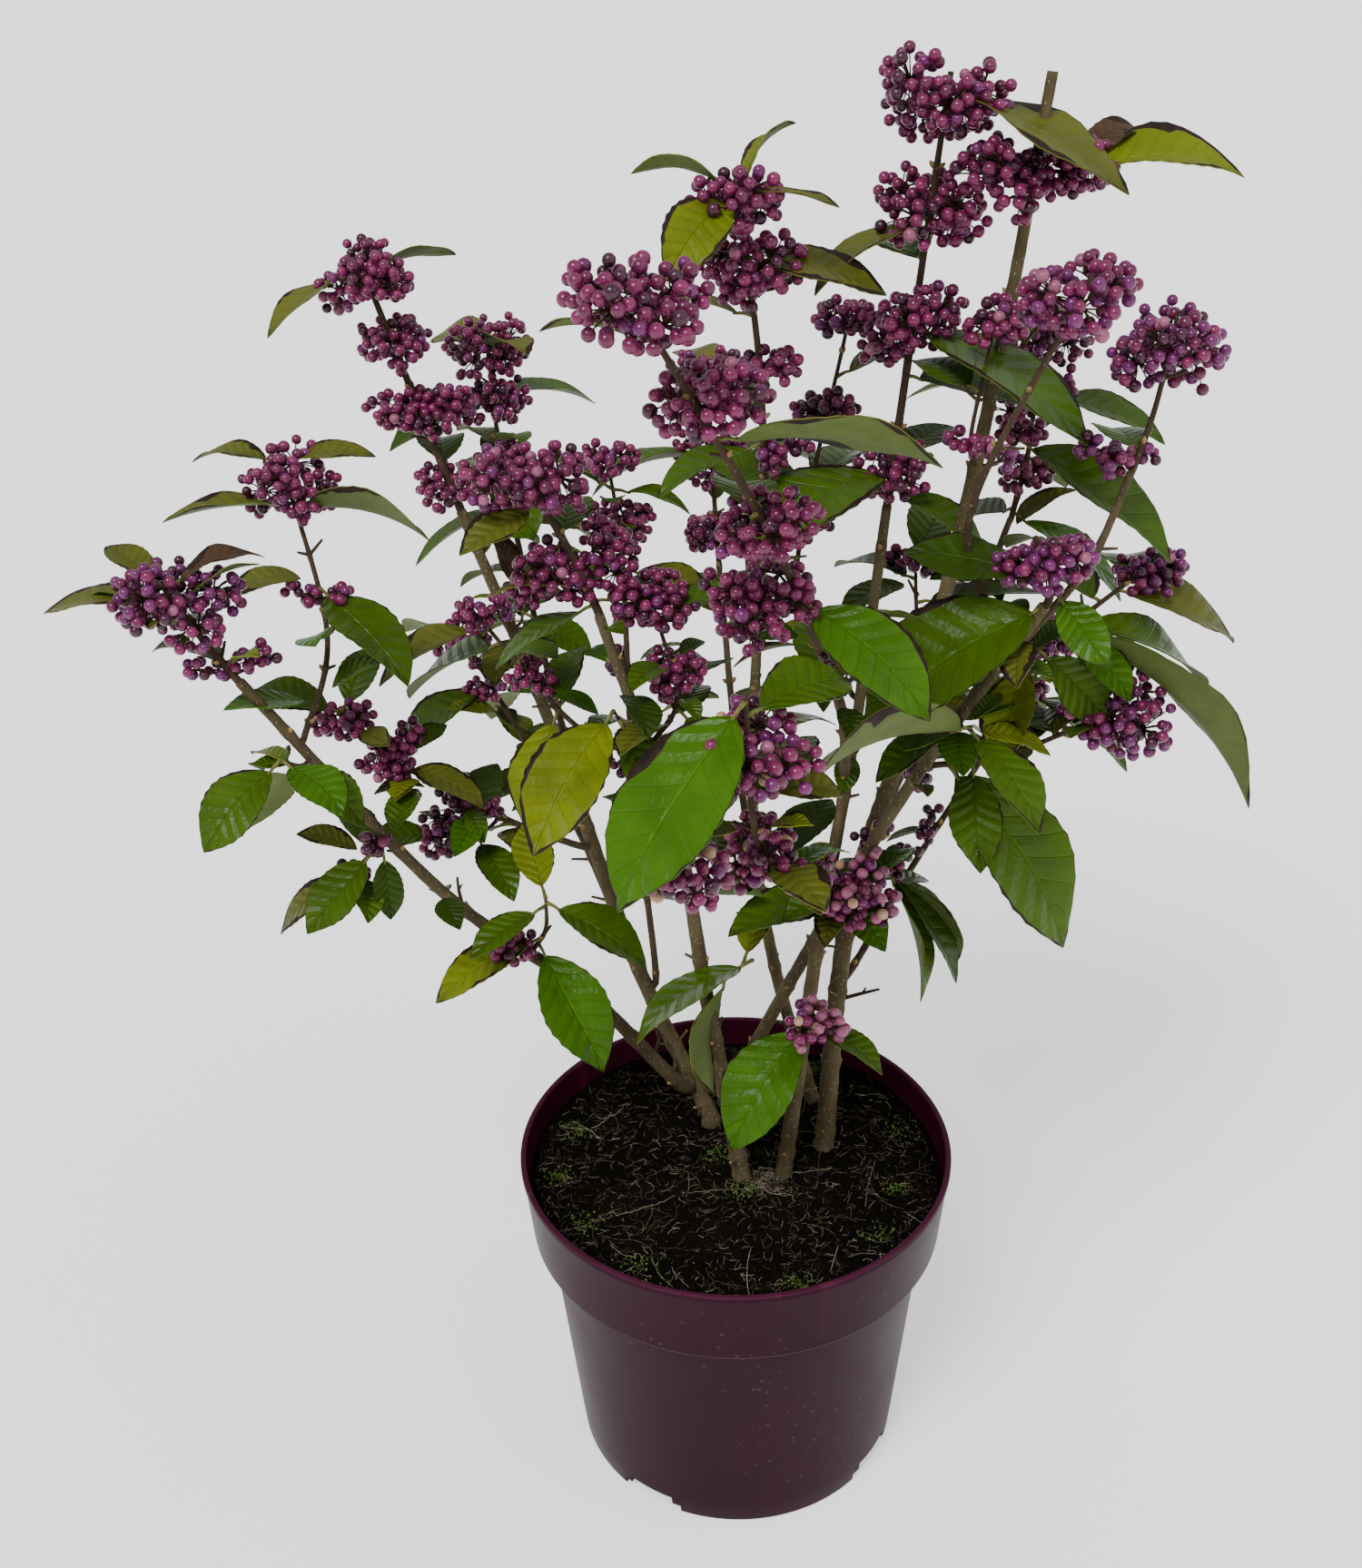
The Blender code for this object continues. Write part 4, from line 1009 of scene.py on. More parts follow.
def soil_height(x, y, relief):
    """Height of the soil's top, with lumps of three sizes."""
    lumps = sum(noise.noise(Vector((x * many, y * many, layer))) * share for many, share, layer in SOIL_LUMPS)
    return (SOIL_TOP - SOIL_SINKS) * MM + relief * lumps


def soil_reach():
    return (COLLAR_FOOT_RADIUS - WALL - GAP + (RIM_RADIUS - LIP_STANDS_OUT - COLLAR_FOOT_RADIUS)
            * (SOIL_TOP - POT_HEIGHT + COLLAR_HEIGHT) / COLLAR_HEIGHT) * MM


def soil_bed(relief):
    """A closed body of soil with a finely lumpy top."""
    bed = Mesh()
    rings, steps = SOIL_RINGS, SOIL_STEPS
    reach = soil_reach()
    shoulder = POT_HEIGHT - COLLAR_HEIGHT
    bed.corners.append(Vector((0, 0, soil_height(0, 0, relief))))
    for ring in range(1, rings + 1):
        radius = reach * ring / rings
        for step in range(steps):
            angle = 2 * math.pi * step / steps
            x, y = radius * math.cos(angle), radius * math.sin(angle)
            bed.corners.append(Vector((x, y, soil_height(x, y, relief))))
    below = [
        (reach / MM, SOIL_TOP - SOIL_WALL_TOP), (COLLAR_FOOT_RADIUS - WALL - GAP, shoulder + WALL + GAP),
        (inner_radius(shoulder) - GAP, shoulder - WALL / 2), (inner_radius(SOIL_CHAMFER) - GAP, SOIL_CHAMFER),
        (inner_radius(FLOOR) - SOIL_CHAMFER, FLOOR + GAP),
    ]
    for radius, height in below:
        for step in range(steps):
            angle = 2 * math.pi * step / steps
            bed.corners.append(Vector((radius * math.cos(angle), radius * math.sin(angle), height)) * MM)
    for step in range(steps):
        following = (step + 1) % steps
        bed.face((0, 1 + step, 1 + following))
        for ring in range(rings + len(below) - 1):
            near = 1 + ring * steps
            bed.face((near + step, near + steps + step, near + steps + following, near + following))
    last = 1 + (rings + len(below) - 1) * steps
    bed.face(tuple(range(last + steps - 1, last - 1, -1)))
    return bed


# Least and greatest turn in radians, and size as a share of the largest, of a strewn crumb.
CRUMB_TURNS = (0.0, 0.0, 0.0), (6.28, 6.28, 6.28)
CRUMB_SIZES = (0.25, 0.2, 0.15), (1.0, 0.8, 0.6)


def placing_tree(name, fields, place):
    """Geometry nodes that set one shape on many points and give it a material."""
    tree = bpy.data.node_groups.new(name, "GeometryNodeTree")
    for label, kind in (("Geometry", "Geometry"), *fields, ("Material", "Material")):
        tree.interface.new_socket(label, in_out="INPUT", socket_type=f"NodeSocket{kind}")
    tree.interface.new_socket("Geometry", in_out="OUTPUT", socket_type="NodeSocketGeometry")
    new, link = tree.nodes.new, tree.links.new
    given, result = new("NodeGroupInput"), new("NodeGroupOutput")
    instances, real, coat = (
        new(f"GeometryNode{kind}") for kind in ("InstanceOnPoints", "RealizeInstances", "SetMaterial"))
    for label, socket in place(new, link, given.outputs).items():
        link(socket, instances.inputs[label])
    link(instances.outputs[0], real.inputs[0])
    link(real.outputs[0], coat.inputs["Geometry"])
    link(given.outputs["Material"], coat.inputs["Material"])
    link(coat.outputs[0], result.inputs[0])
    return tree


def strewn_crumbs(new, link, given):
    """Crumbs of all sizes and turns on the upward faces of a surface."""
    normal, parts, upward = (
        new(kind) for kind in ("GeometryNodeInputNormal", "ShaderNodeSeparateXYZ", "FunctionNodeCompare"))
    upward.operation = "GREATER_THAN"
    upward.inputs[1].default_value = FACES_UP
    link(normal.outputs[0], parts.inputs[0])
    link(parts.outputs["Z"], upward.inputs[0])
    points, lump = new("GeometryNodeDistributePointsOnFaces"), new("GeometryNodeMeshIcoSphere")
    lump.inputs["Subdivisions"].default_value = 1
    link(given["Geometry"], points.inputs["Mesh"])
    link(upward.outputs[0], points.inputs["Selection"])
    link(given["Density"], points.inputs["Density"])
    link(given["Seed"], points.inputs["Seed"])
    turn, size = new("FunctionNodeRandomValue"), new("FunctionNodeRandomValue")
    for node, (least, most) in ((turn, CRUMB_TURNS), (size, CRUMB_SIZES)):
        node.data_type = "FLOAT_VECTOR"
        node.inputs[0].default_value = least
        node.inputs[1].default_value = most
        link(given["Seed"], node.inputs["Seed"])
    scale = new("ShaderNodeVectorMath")
    scale.operation = "SCALE"
    link(size.outputs[0], scale.inputs[0])
    link(given["Largest"], scale.inputs["Scale"])
    return {"Points": points.outputs["Points"], "Instance": lump.outputs["Mesh"],
            "Rotation": turn.outputs[0], "Scale": scale.outputs[0]}


def grown(name, mesh, tree, values):
    """Runs geometry nodes on a mesh and returns the plain result."""
    thing = helper(name, mesh)
    modifier = thing.modifiers.new("grow", "NODES")
    modifier.node_group = tree
    for item in tree.interface.items_tree:
        if item.in_out == "INPUT" and item.name in values:
            modifier[item.identifier] = values[item.name]
    return plain_mesh(thing, name)


def strew_crumbs(bed, settings, soil):
    fields = ("Density", "Float"), ("Largest", "Float"), ("Seed", "Int")
    tree = placing_tree("strewn_crumbs", fields, strewn_crumbs)
    crumbs = grown("soil_crumbs", bed.data.copy(), tree, {
        "Density": settings.crumbs, "Largest": settings.crumb_size, "Seed": SEED, "Material": soil})
    finished("soil_crumbs", crumbs)


# Each kind of root: least and greatest length, step, most curl at a step in radians, and thickness.
FIBRE = ((2, 6.5), 1.3, 0.5, (0.05, 0.1))
LONG_ROOT = ((12, 34), 1.6, 0.16, (0.08, 0.13))
# One fibre in this many lies in the tuft, and roots end short of the pot's wall.
TUFT_SHARE = 12
ROOT_REACH = 0.98
PALE_ROOT, TAN_ROOT = (0.34, 0.3, 0.22), (0.13, 0.1, 0.065)


def anywhere(reach, rng):
    """A spot on a disc."""
    radius, angle = reach * math.sqrt(rng.random()), rng.uniform(0, 2 * math.pi)
    return Vector((radius * math.cos(angle), radius * math.sin(angle), 0))


def strew_roots(settings, rng):
    """Short pale fibres all over the soil, a tuft of them, and some long curved roots."""
    roots = Mesh()
    reach = soil_reach() * ROOT_REACH
    for index in range(settings.fibres):
        if index % TUFT_SHARE:
            start = anywhere(reach, rng)
        else:
            x, y, spread = FIBRE_PATCH
            start = Vector((rng.gauss(x, spread), rng.gauss(y, spread), 0)) * MM
        lay_root(roots, start, FIBRE, settings, rng)
    for _ in range(settings.roots):
        lay_root(roots, anywhere(reach, rng), LONG_ROOT, settings, rng)
    finishes = [plain_finish("pale_root", PALE_ROOT, 0.7, 300), plain_finish("tan_root", TAN_ROOT, 0.75, 300)]
    roots.piece("soil_roots", finishes, "soil")


def lay_root(roots, start, kind, settings, rng):
    """One root that follows the soil's surface, bending a little at each step."""
    lengths, step, most_curl, thicknesses = kind
    length, curl, thick = rng.uniform(*lengths), rng.uniform(-most_curl, most_curl), rng.uniform(*thicknesses)
    reach = soil_reach() * ROOT_REACH
    heading = rng.uniform(0, 2 * math.pi)
    spot = start
    path = []
    for _ in range(max(int(length / step), 2) + 1):
        if spot.length > reach:
            break
        lift = settings.relief * rng.uniform(0.1, 0.6)
        path.append(Vector((spot.x, spot.y, soil_height(spot.x, spot.y, settings.relief) + lift)))
        heading += curl * rng.uniform(0.4, 1.4)
        spot = spot + Vector((math.cos(heading), math.sin(heading), 0)) * step * MM
    if len(path) > 2:
        roots.tube(path, [thick * MM] * len(path), 3, rng.choice((0, 1, 1)))


MOSS_GREEN, MOSS_LIGHT = (0.03, 0.065, 0.008), (0.07, 0.13, 0.02)
# Moss keeps this far from the pot's wall. A tuft leans, rises and is as thick as the next values say, and
# the last ones share its thickness out over foot, middle and tip.
MOSS_GAP = 2
MOSS_LEAN, MOSS_RISE, MOSS_SIZE = 0.5, (0.5, 1.3), (0.3, 0.65)
MOSS_TAPER = (1.0, 0.9, 0.3)


def strew_moss(settings, rng):
    """Low green tufts in small patches, most of them near the pot's wall."""
    moss = Mesh()
    for x, y, spread in MOSS_PATCHES:
        for _ in range(settings.moss):
            spot = Vector((rng.gauss(x, spread), rng.gauss(y, spread), 0)) * MM
            if spot.length > soil_reach() - MOSS_GAP * MM:
                continue
            spot.z = soil_height(spot.x, spot.y, settings.relief)
            lean = rng.gauss(0, MOSS_LEAN), rng.gauss(0, MOSS_LEAN)
            tip = spot + Vector((*lean, rng.uniform(*MOSS_RISE))) * MM
            size = rng.uniform(*MOSS_SIZE) * MM
            radii = [size * share for share in MOSS_TAPER]
            moss.tube([spot, spot.lerp(tip, 0.5), tip], radii, 5, rng.choice((0, 0, 1)))
    finishes = [plain_finish("moss_green", MOSS_GREEN, 0.85, 400),
                plain_finish("moss_light", MOSS_LIGHT, 0.85, 400)]
    moss.piece("soil_moss", finishes, "soil")


CUT_WOOD, GOLDEN_BUD, TWIG_BUD, LEAF_STALK = (
    (0.3, 0.22, 0.13), (0.26, 0.16, 0.06), (0.22, 0.14, 0.06), (0.12, 0.12, 0.03))
# Radii of a dead twig and of its stub, how far it bends, and where it starts inside its carrier.
DEAD_TWIG_RADII, DEAD_STUB_RADII = (1.0, 0.8, 0.55), (0.6, 0.4)
DEAD_TWIG_START, DEAD_TWIG_BEND, DEAD_STUB = 5, 0.6, 3


def scaled(values, factor=MM):
    return [value * factor for value in values]


class BEAUTYBERRY_OT_limbs(bpy.types.Operator):
    """Covers the stems and boughs with bark that swells at their nodes"""
    bl_idname = "beautyberry.limbs"
    bl_label = "Stems and boughs"

    def execute(self, context):
        settings = context.scene.beautyberry_limbs
        between = [(old + new) / 2 for old, new in zip(settings.bark_colour, settings.twig_colour)]
        bark = bark_finish("old_bark", settings.bark_colour, 0.75)
        young = bark_finish("young_bark", between, 0.5)
        cut = plain_finish("cut_wood", CUT_WOOD, 0.8, 500)
        bud = plain_finish("golden_bud", GOLDEN_BUD, 0.6, 600)
        for name, (path, radii) in LIMBS.items():
            limb = Mesh()
            stem = name in STEMS
            cover_limb(limb, name, path, radii, settings, stem)
            skin, slot = (bark, "bark") if stem else (young, "young_bark")
            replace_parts(limb.piece(f"{name}_bark", [skin, bud, cut], slot), name)
        grow_dead_twigs(bark_finish("dead_twig_bark", shade(settings.twig_colour, 0.8), 0.2))
        return {"FINISHED"}


def grow_dead_twigs(bark):
    """Bent dead twigs, each with a stub at its bend."""
    dead = Mesh()
    rng = random.Random(SEED + 2)
    for carrier, height, heading, rise, length in DEAD_TWIGS:
        point = at_height(LIMBS[carrier], height * MM)[0]
        tip = point + heading_vector(heading, rise) * (length + DEAD_TWIG_START) * MM
        sway = Vector((rng.gauss(0, 1), rng.gauss(0, 1), 0)) * DEAD_TWIG_BEND * MM
        turn = point.lerp(tip, 0.6) + sway
        dead.tube([point, turn, tip], scaled(DEAD_TWIG_RADII), 6, 0)
        stub = turn + Vector((0.6, 0.3, 1)).normalized() * DEAD_STUB * MM
        dead.tube([turn, stub], scaled(DEAD_STUB_RADII), 5, 0)
    dead.piece("dead_twigs", [bark], "bark")


# A stem's flare at the soil as a share of its radius, how far up it fades in millimetres, and how far its
# foot is sunk. Then the half lengths of the swellings at the nodes of limbs and shoots, how far those of the
# shoots stand out, and how close they follow each other against the limbs' own.
FLARE, FLARE_FADES, FOOT_SINKS = 0.36, 7, 2
LIMB_SWELLING, SHOOT_SWELLING = 1.8, 1.5
SHOOT_SWELLS = 0.22
SHOOT_INTERNODE = 0.7


def swelling(travelled, nodes, half_length):
    """How much a limb swells at a distance along it, from 0 to 1, by its nodes."""
    return sum(math.exp(-((travelled - node) / (half_length * MM)) ** 2) for node in nodes)


def cover_limb(limb, name, path, radii, settings, stem):
    """A tube whose radius flares at the foot, swells at each node and is lumpy all over."""
    rng = random.Random(f"{SEED}{name}")
    length = path_length(path)
    count = max(int(length / settings.ring_spacing), 12)
    rings = [along(path, index / (count - 1)) for index in range(count)]
    nodes = [settings.internode * (index + rng.uniform(0.35, 0.6))
             for index in range(int(length / settings.internode))]
    reaches = []
    for index, point in enumerate(rings):
        travelled = length * index / (count - 1)
        radius = radii[0] + (radii[-1] - radii[0]) * index / (count - 1)
        if stem:
            radius *= 1 + FLARE * math.exp(-travelled / (FLARE_FADES * MM))
        radius *= 1 + settings.swelling * swelling(travelled, nodes, LIMB_SWELLING)
        reaches.append(lumpy_radius(point, radius))
    if stem:
        rings[0] = rings[0] - Vector((0, 0, FOOT_SINKS * MM))
    limb.tube(rings, reaches, settings.sides, 0, 2)
    for index, node in enumerate(nodes):
        grow_buds(limb, path, length, radii, node, index, rng)


def lumpy_radius(point, radius):
    """A radius that varies round the stem, without a break where the round closes."""
    def reach(angle):
        spot = Vector((math.cos(angle), math.sin(angle), 0)) * 1.4 + point * 260
        return radius * (1 + 0.07 * noise.noise(spot) + 0.03 * noise.noise(spot * 3.1))
    return reach


# Share of the buds that have died to a stub, radii of the stub and the bud, places of the bud's rings, its
# length, where it starts in the stem and how far it leans ahead.
DEAD_BUDS, STUB_LENGTHS = 0.25, (3, 8)
STUB_RADII, BUD_RADII, BUD_RINGS = (0.9, 0.8, 0.55), (1.0, 1.05, 0.6, 0.12), (0, 0.45, 0.8, 1)
BUD_LENGTH, BUD_START, BUD_LEAN = 2.2, 0.7, 0.9


def grow_buds(limb, path, length, radii, node, index, rng):
    """A pair of buds, or a dead stub, at one node."""
    place = min(node / length, 0.99)
    point = along(path, place)
    ahead = (along(path, min(place + 0.01, 1)) - point).normalized()
    side = ahead.orthogonal().normalized()
    side.rotate(Matrix.Rotation(index * math.pi / 2 + 0.4, 3, ahead))
    radius = radii[0] + (radii[-1] - radii[0]) * place
    for out in (side, -side):
        if rng.random() < DEAD_BUDS:
            reach = rng.uniform(*STUB_LENGTHS) * MM
            tip = point + out * (radius + reach) + ahead * reach * 0.6
            skin = point + out * radius + ahead * 0.5 * MM
            limb.tube([point, skin, tip], scaled(STUB_RADII), 6, 0, 2)
        else:
            base = point + out * radius * BUD_START
            tip = base + (out + ahead * BUD_LEAN) * BUD_LENGTH * MM
            limb.tube([base.lerp(tip, ring) for ring in BUD_RINGS], scaled(BUD_RADII), 6, 1)


# Radii of a leaf's stalk, how far it runs into the blade and how far it arches.
PETIOLE_RADII = (1.0, 0.75, 0.6)
PETIOLE_OVERLAP, PETIOLE_ARCH = 2, 0.5


class BEAUTYBERRY_OT_shoots(bpy.types.Operator):
    """Grows the shoots on from the limbs, with nodes, buds and leaf stalks"""
    bl_idname = "beautyberry.shoots"
    bl_label = "Shoots"

    def execute(self, context):
        settings = context.scene.beautyberry_limbs
        petiole = context.scene.beautyberry_leaves.petiole
        twigs = Mesh()
        rng = random.Random(SEED + 1)
        for name, (path, radii) in SHOOT_PATHS.items():
            length = path_length(path)
            nodes = [settings.internode * SHOOT_INTERNODE * (index + 0.5)
                     for index in range(int(length / settings.internode / SHOOT_INTERNODE))]
            reaches = []
            for index, radius in enumerate(radii):
                travelled = length * index / (len(radii) - 1)
                reaches.append(radius * (1 + SHOOT_SWELLS * swelling(travelled, nodes, SHOOT_SWELLING)))
            twigs.tube(path, reaches, 9)
            for index, node in enumerate(nodes):
                grow_buds(twigs, path, length, radii, node, index, rng)
            for place, heading, rise, _ in SHOOTS[name][5]:
                root = along(path, min(place, LAST_LEAF))
                end = root + heading_vector(heading, rise) * (petiole + PETIOLE_OVERLAP * MM)
                middle = root.lerp(end, 0.5) + Vector((0, 0, PETIOLE_ARCH * MM))
                twigs.tube([root, middle, end], scaled(PETIOLE_RADII), 6, 2)
        twig = bark_finish("twig_bark", settings.twig_colour, 0.35)
        bud = plain_finish("twig_bud", TWIG_BUD, 0.6, 600)
        stalk = plain_finish("leaf_stalk", LEAF_STALK, 0.55, 400)
        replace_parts(twigs.piece("shoots", [twig, bud, stalk], "foliage"), *SHOOTS)
        return {"FINISHED"}


# Roughness of a glossy and of a dull leaf, and the tints of the glossy ones.
GLOSSY, DULL, GLOSSY_TINTS = 0.27, 0.4, "BG"
BURNT_COLOUR, UNDERSIDE_COLOUR = (0.018, 0.009, 0.006), (0.085, 0.112, 0.028)


class BEAUTYBERRY_OT_leaves(bpy.types.Operator):
    """Unfolds every leaf: pointed, toothed, arched and folded, with burnt edges where they show"""
    bl_idname = "beautyberry.leaves"
    bl_label = "Leaves"

    def execute(self, context):
        settings = context.scene.beautyberry_leaves
        letters = list(LEAF_COLOURS)
        materials = [leaf_finish(f"leaf_{letter}", colour, GLOSSY if letter in GLOSSY_TINTS else DULL)
                     for letter, colour in LEAF_COLOURS.items()]
        materials.append(plain_finish("leaf_burnt", BURNT_COLOUR, 0.6, 260))
        materials.append(plain_finish("leaf_underside", UNDERSIDE_COLOUR, 0.62, 140, 0.1))
        regions = {}
        for name, shoot in SHOOTS.items():
            path = SHOOT_PATHS[name][0]
            leaves = regions.setdefault(region_of(name, along(path, SHOOT_MIDDLE)), Mesh())
            tints = LEAF_TINTS.get(name, "")
            for index, (place, heading, rise, length) in enumerate(shoot[5]):
                rng = random.Random(f"{name}{index}")
                letter = tints[index] if index < len(tints) else "G"
                root = along(path, min(place, LAST_LEAF))
                slot = letters.index(letter.upper())
                unfold_leaf(leaves, root, heading, rise, length * MM, slot, letter, settings, rng)
            if len(shoot[5]) > 1:
                add_young_leaves(leaves, name, path, YOUNG_PLACES, letters, settings)
        for name, (path, _) in LIMBS.items():
            leaves = regions[region_of(name, along(path, LIMB_MIDDLE))]
            add_young_leaves(leaves, name, path, LIMB_LEAF_PLACES, letters, settings)
        for region, leaves in regions.items():
            leaves.piece(f"leaves_{region}", materials, "foliage")
        return {"FINISHED"}


BURNT_SLOT = len(LEAF_COLOURS)
UNDER_SLOT = BURNT_SLOT + 1
# How deep a burnt margin reaches into a leaf of each tint, as a share of its half width, how much it changes
# from leaf to leaf, and the least and the most that a margin may be.
BURNT_DEPTH = {"B": 0.12, "D": 0.08, "G": 0.14, "O": 0.44, "R": 0.9, "Y": 0.24}
BURNT_CHANGE, LEAST_MARGIN, MOST_MARGIN = (0.4, 1.3), 0.004, 0.94
YOUNG_PLACES = (0.2, 0.4, 0.6, 0.8)
LIMB_LEAF_PLACES = (0.56, 0.68, 0.8, 0.9, 0.97)
# Heights in millimetres between which the inner nodes of the crown bear young leaves and small bunches.
LEAFY_HEIGHTS = (262, 418)
# A young leaf's place off its node, turn off its pair's line, rise and length, and the tints it may have.
YOUNG_SHIFT, YOUNG_LEAN, YOUNG_RISES, YOUNG_LENGTHS, YOUNG_TINTS = 0.02, 20, (-25, 28), (20, 40), "GGGBDOY"


def is_leafy(point):
    return LEAFY_HEIGHTS[0] * MM < point.z < LEAFY_HEIGHTS[1] * MM


def add_young_leaves(leaves, name, path, places, letters, settings):
    """Small leaves in pairs at some nodes of a shoot or limb."""
    rng = random.Random(f"{name}young")
    for place in places:
        heading = rng.uniform(0, 360)
        for turn in (0, 180):
            root = along(path, place + rng.uniform(-YOUNG_SHIFT, YOUNG_SHIFT))
            lean, rise = rng.uniform(-YOUNG_LEAN, YOUNG_LEAN), rng.uniform(*YOUNG_RISES)
            length = rng.uniform(*YOUNG_LENGTHS) * MM
            letter = rng.choice(YOUNG_TINTS)
            if rng.random() < settings.young_share and is_leafy(root):
                slot = letters.index(letter)
                unfold_leaf(leaves, root, heading + turn + lean, rise, length, slot, letter, settings, rng)


# How far a leaf that the viewpoint sees edge-on is turned off the line of sight, in degrees. A hanging leaf
# in front of a depth in metres turns its face to the viewpoint, more the further its rise is below a limit.
EDGE_TURNS = (9, 20)
FACING_DEPTH, FACING_RISE, FACING_RANGE, FACING_SHARE = 0.09, -18, 30, 0.6


def blade_frame(start, ahead, heading, rise, letter, rng):
    """The direction across a blade: level, turned edge-on to the viewpoint, or facing it where it hangs."""
    level = Vector((-math.sin(math.radians(heading)), math.cos(math.radians(heading)), 0))
    sight = (start - Vector(CAMERA_PLACE)).normalized()
    if letter.islower():
        turn = math.radians(rng.choice((-1, 1)) * rng.uniform(*EDGE_TURNS))
        across = Matrix.Rotation(turn, 3, ahead) @ (sight - ahead * sight.dot(ahead)).normalized()
    else:
        facing = max(0.0, min((FACING_RISE - rise) / FACING_RANGE, 1.0)) * FACING_SHARE
        broad = ahead.cross(sight).normalized()
        if broad.dot(level) < 0:
            broad = -broad
        across = level.lerp(broad, facing) if start.y < FACING_DEPTH else level
        across = (across - ahead * across.dot(ahead)).normalized()
    return across if ahead.cross(across).z >= 0 else -across


# A blade's form: its most roll and twist in degrees, its change of width, its fold, arch, curl, waviness and
# sideways bow, how a dry leaf differs, how deep a tooth stands out and is cut in, where along the blade teeth
# start and end, and the quilting between its pairs of side veins.
ROLL, TWIST, EDGE_TWIST = 15, 20, 0.6
WIDTHS, FOLDS, ARCHES = (0.92, 1.08), (0.08, 0.32), (0.04, 0.1)
CURLS, WAVES, BOWS = (0, 0.12), (0.4, 1.1), (-0.05, 0.05)
DRY_ARCH, DRY_WAVE, DRY_WIDTH = 0.16, 2.2, 0.7
TOOTH, NOTCH, TEETH_START, TEETH_END = 0.03, 0.015, 0.06, 0.96
WAVE_DEPTH, WAVE_TURNS, QUILT_DEPTH, VEIN_PAIRS, VEIN_SLANT = 0.07, 9, 0.0035, 8, 0.2


def unfold_leaf(leaves, root, heading, rise, length, slot, letter, settings, rng):
    """Adds one leaf: an upper and a lower face joined by a thin edge."""
    ahead = heading_vector(heading, rise)
    roll, twist = rng.uniform(-ROLL, ROLL), rng.uniform(-TWIST, TWIST)
    start = root + ahead * settings.petiole
    reach = length * settings.growth - settings.petiole
    half = reach * settings.width / 2 * rng.uniform(*WIDTHS)
    fold, arch, curl, wave = (rng.uniform(*ends) for ends in (FOLDS, ARCHES, CURLS, WAVES))
    kind = letter.upper()
    if letter.islower():
        roll, twist = 0.0, twist * EDGE_TWIST
    if kind == "R":
        arch, wave, half = DRY_ARCH, DRY_WAVE, half * DRY_WIDTH
    level = blade_frame(start, ahead, heading, rise, letter, rng)
    phase, bow = rng.uniform(0, 6.28), rng.uniform(*BOWS)
    depth = BURNT_DEPTH[kind] * rng.uniform(*BURNT_CHANGE)
    rows = settings.stations
    width = 2 * len(LEAF_COLUMNS) + 1
    first = len(leaves.corners)
    tops, lows, uvs = [], [], []
    for row in range(rows + 1):
        t = row / rows
        spread = half * leaf_outline(t)
        across = Matrix.Rotation(math.radians(roll + twist * t), 3, ahead) @ level
        up = ahead.cross(across)
        for s in row_shares(t, depth, phase):
            toothed = abs(s) == 1.0 and TEETH_START < t < TEETH_END
            tooth = 1 + (TOOTH if row % 2 else -NOTCH) if toothed else 1.0
            lift = fold * abs(s) * spread
            lift += wave * WAVE_DEPTH * spread * s * s * math.sin(WAVE_TURNS * t + phase + 2 * s)
            lift += arch * reach * (1 - (2 * t - 1) ** 2) - curl * reach * t ** 3
            vein = 2 * math.pi * VEIN_PAIRS * (t - VEIN_SLANT * abs(s))
            lift += QUILT_DEPTH * reach * abs(s) * (1.2 - abs(s)) * math.cos(vein)
            side = s * spread * tooth / math.sqrt(1 + fold * fold) + bow * reach * math.sin(math.pi * t)
            top = start + ahead * reach * t + across * side + up * lift
            tops.append(top)
            lows.append(top - up * settings.thickness)
            uvs.append((0.5 + 0.5 * s, t))
    leaves.corners.extend(tops + lows)
    under = first + len(tops)
    for row in range(rows):
        for column in range(width - 1):
            near = row * width + column
            quad = (near, near + width, near + width + 1, near + 1)
            scorched = column in (0, width - 2)
            corners = [uvs[corner] for corner in quad]
            leaves.face(tuple(first + corner for corner in quad), BURNT_SLOT if scorched else slot, corners)
            leaves.face(tuple(under + corner for corner in reversed(quad)),
                        BURNT_SLOT if scorched else UNDER_SLOT, corners[::-1])
    rim = [row * width for row in range(rows + 1)]
    rim += [rows * width + column for column in range(1, width)]
    rim += [row * width + width - 1 for row in range(rows - 1, -1, -1)]
    rim += [column for column in range(width - 2, 0, -1)]
    for index, corner in enumerate(rim):
        following = rim[(index + 1) % len(rim)]
        leaves.face((first + corner, under + corner, under + following, first + following), slot)


def row_shares(t, depth, phase):
    """Places of the corners across a blade: the outermost strip on each side is its burnt margin."""
    left, right = (1 - burnt_margin(t, side, depth, phase) for side in (-1, 1))
    shares = [-1.0] + [-share * left for share in reversed(LEAF_COLUMNS[1:])] + [0.0]
    return shares + [share * right for share in LEAF_COLUMNS[1:]] + [1.0]


# How many times a burnt margin swings in and out along a blade, and how finely it is ragged.
SWINGS, RAGS = 3.2, 14


def burnt_margin(t, side, depth, phase):
    """How far the burnt margin reaches in from a blade's edge, as a share of the half width."""
    swing = noise.noise(Vector((t * SWINGS, side * 2.5, phase * 9)))
    ragged = noise.noise(Vector((t * RAGS, side * 5, phase * 5)))
    margin = depth * (0.2 + 1.9 * swing + 0.7 * ragged)
    tip = 1 - (1 - t) / (depth * (0.5 + 0.5 * swing) + 0.03)
    return max(LEAST_MARGIN, min(max(margin, tip), MOST_MARGIN))


# A blade's outline: where it is widest, how full it is, where its tip starts, how far that draws in, and the
# half width at its ends.
WIDEST, FULLNESS, TIP_START, TIP_DRAW, END_WIDTH = 0.94, 0.74, 0.76, 0.28, 0.012


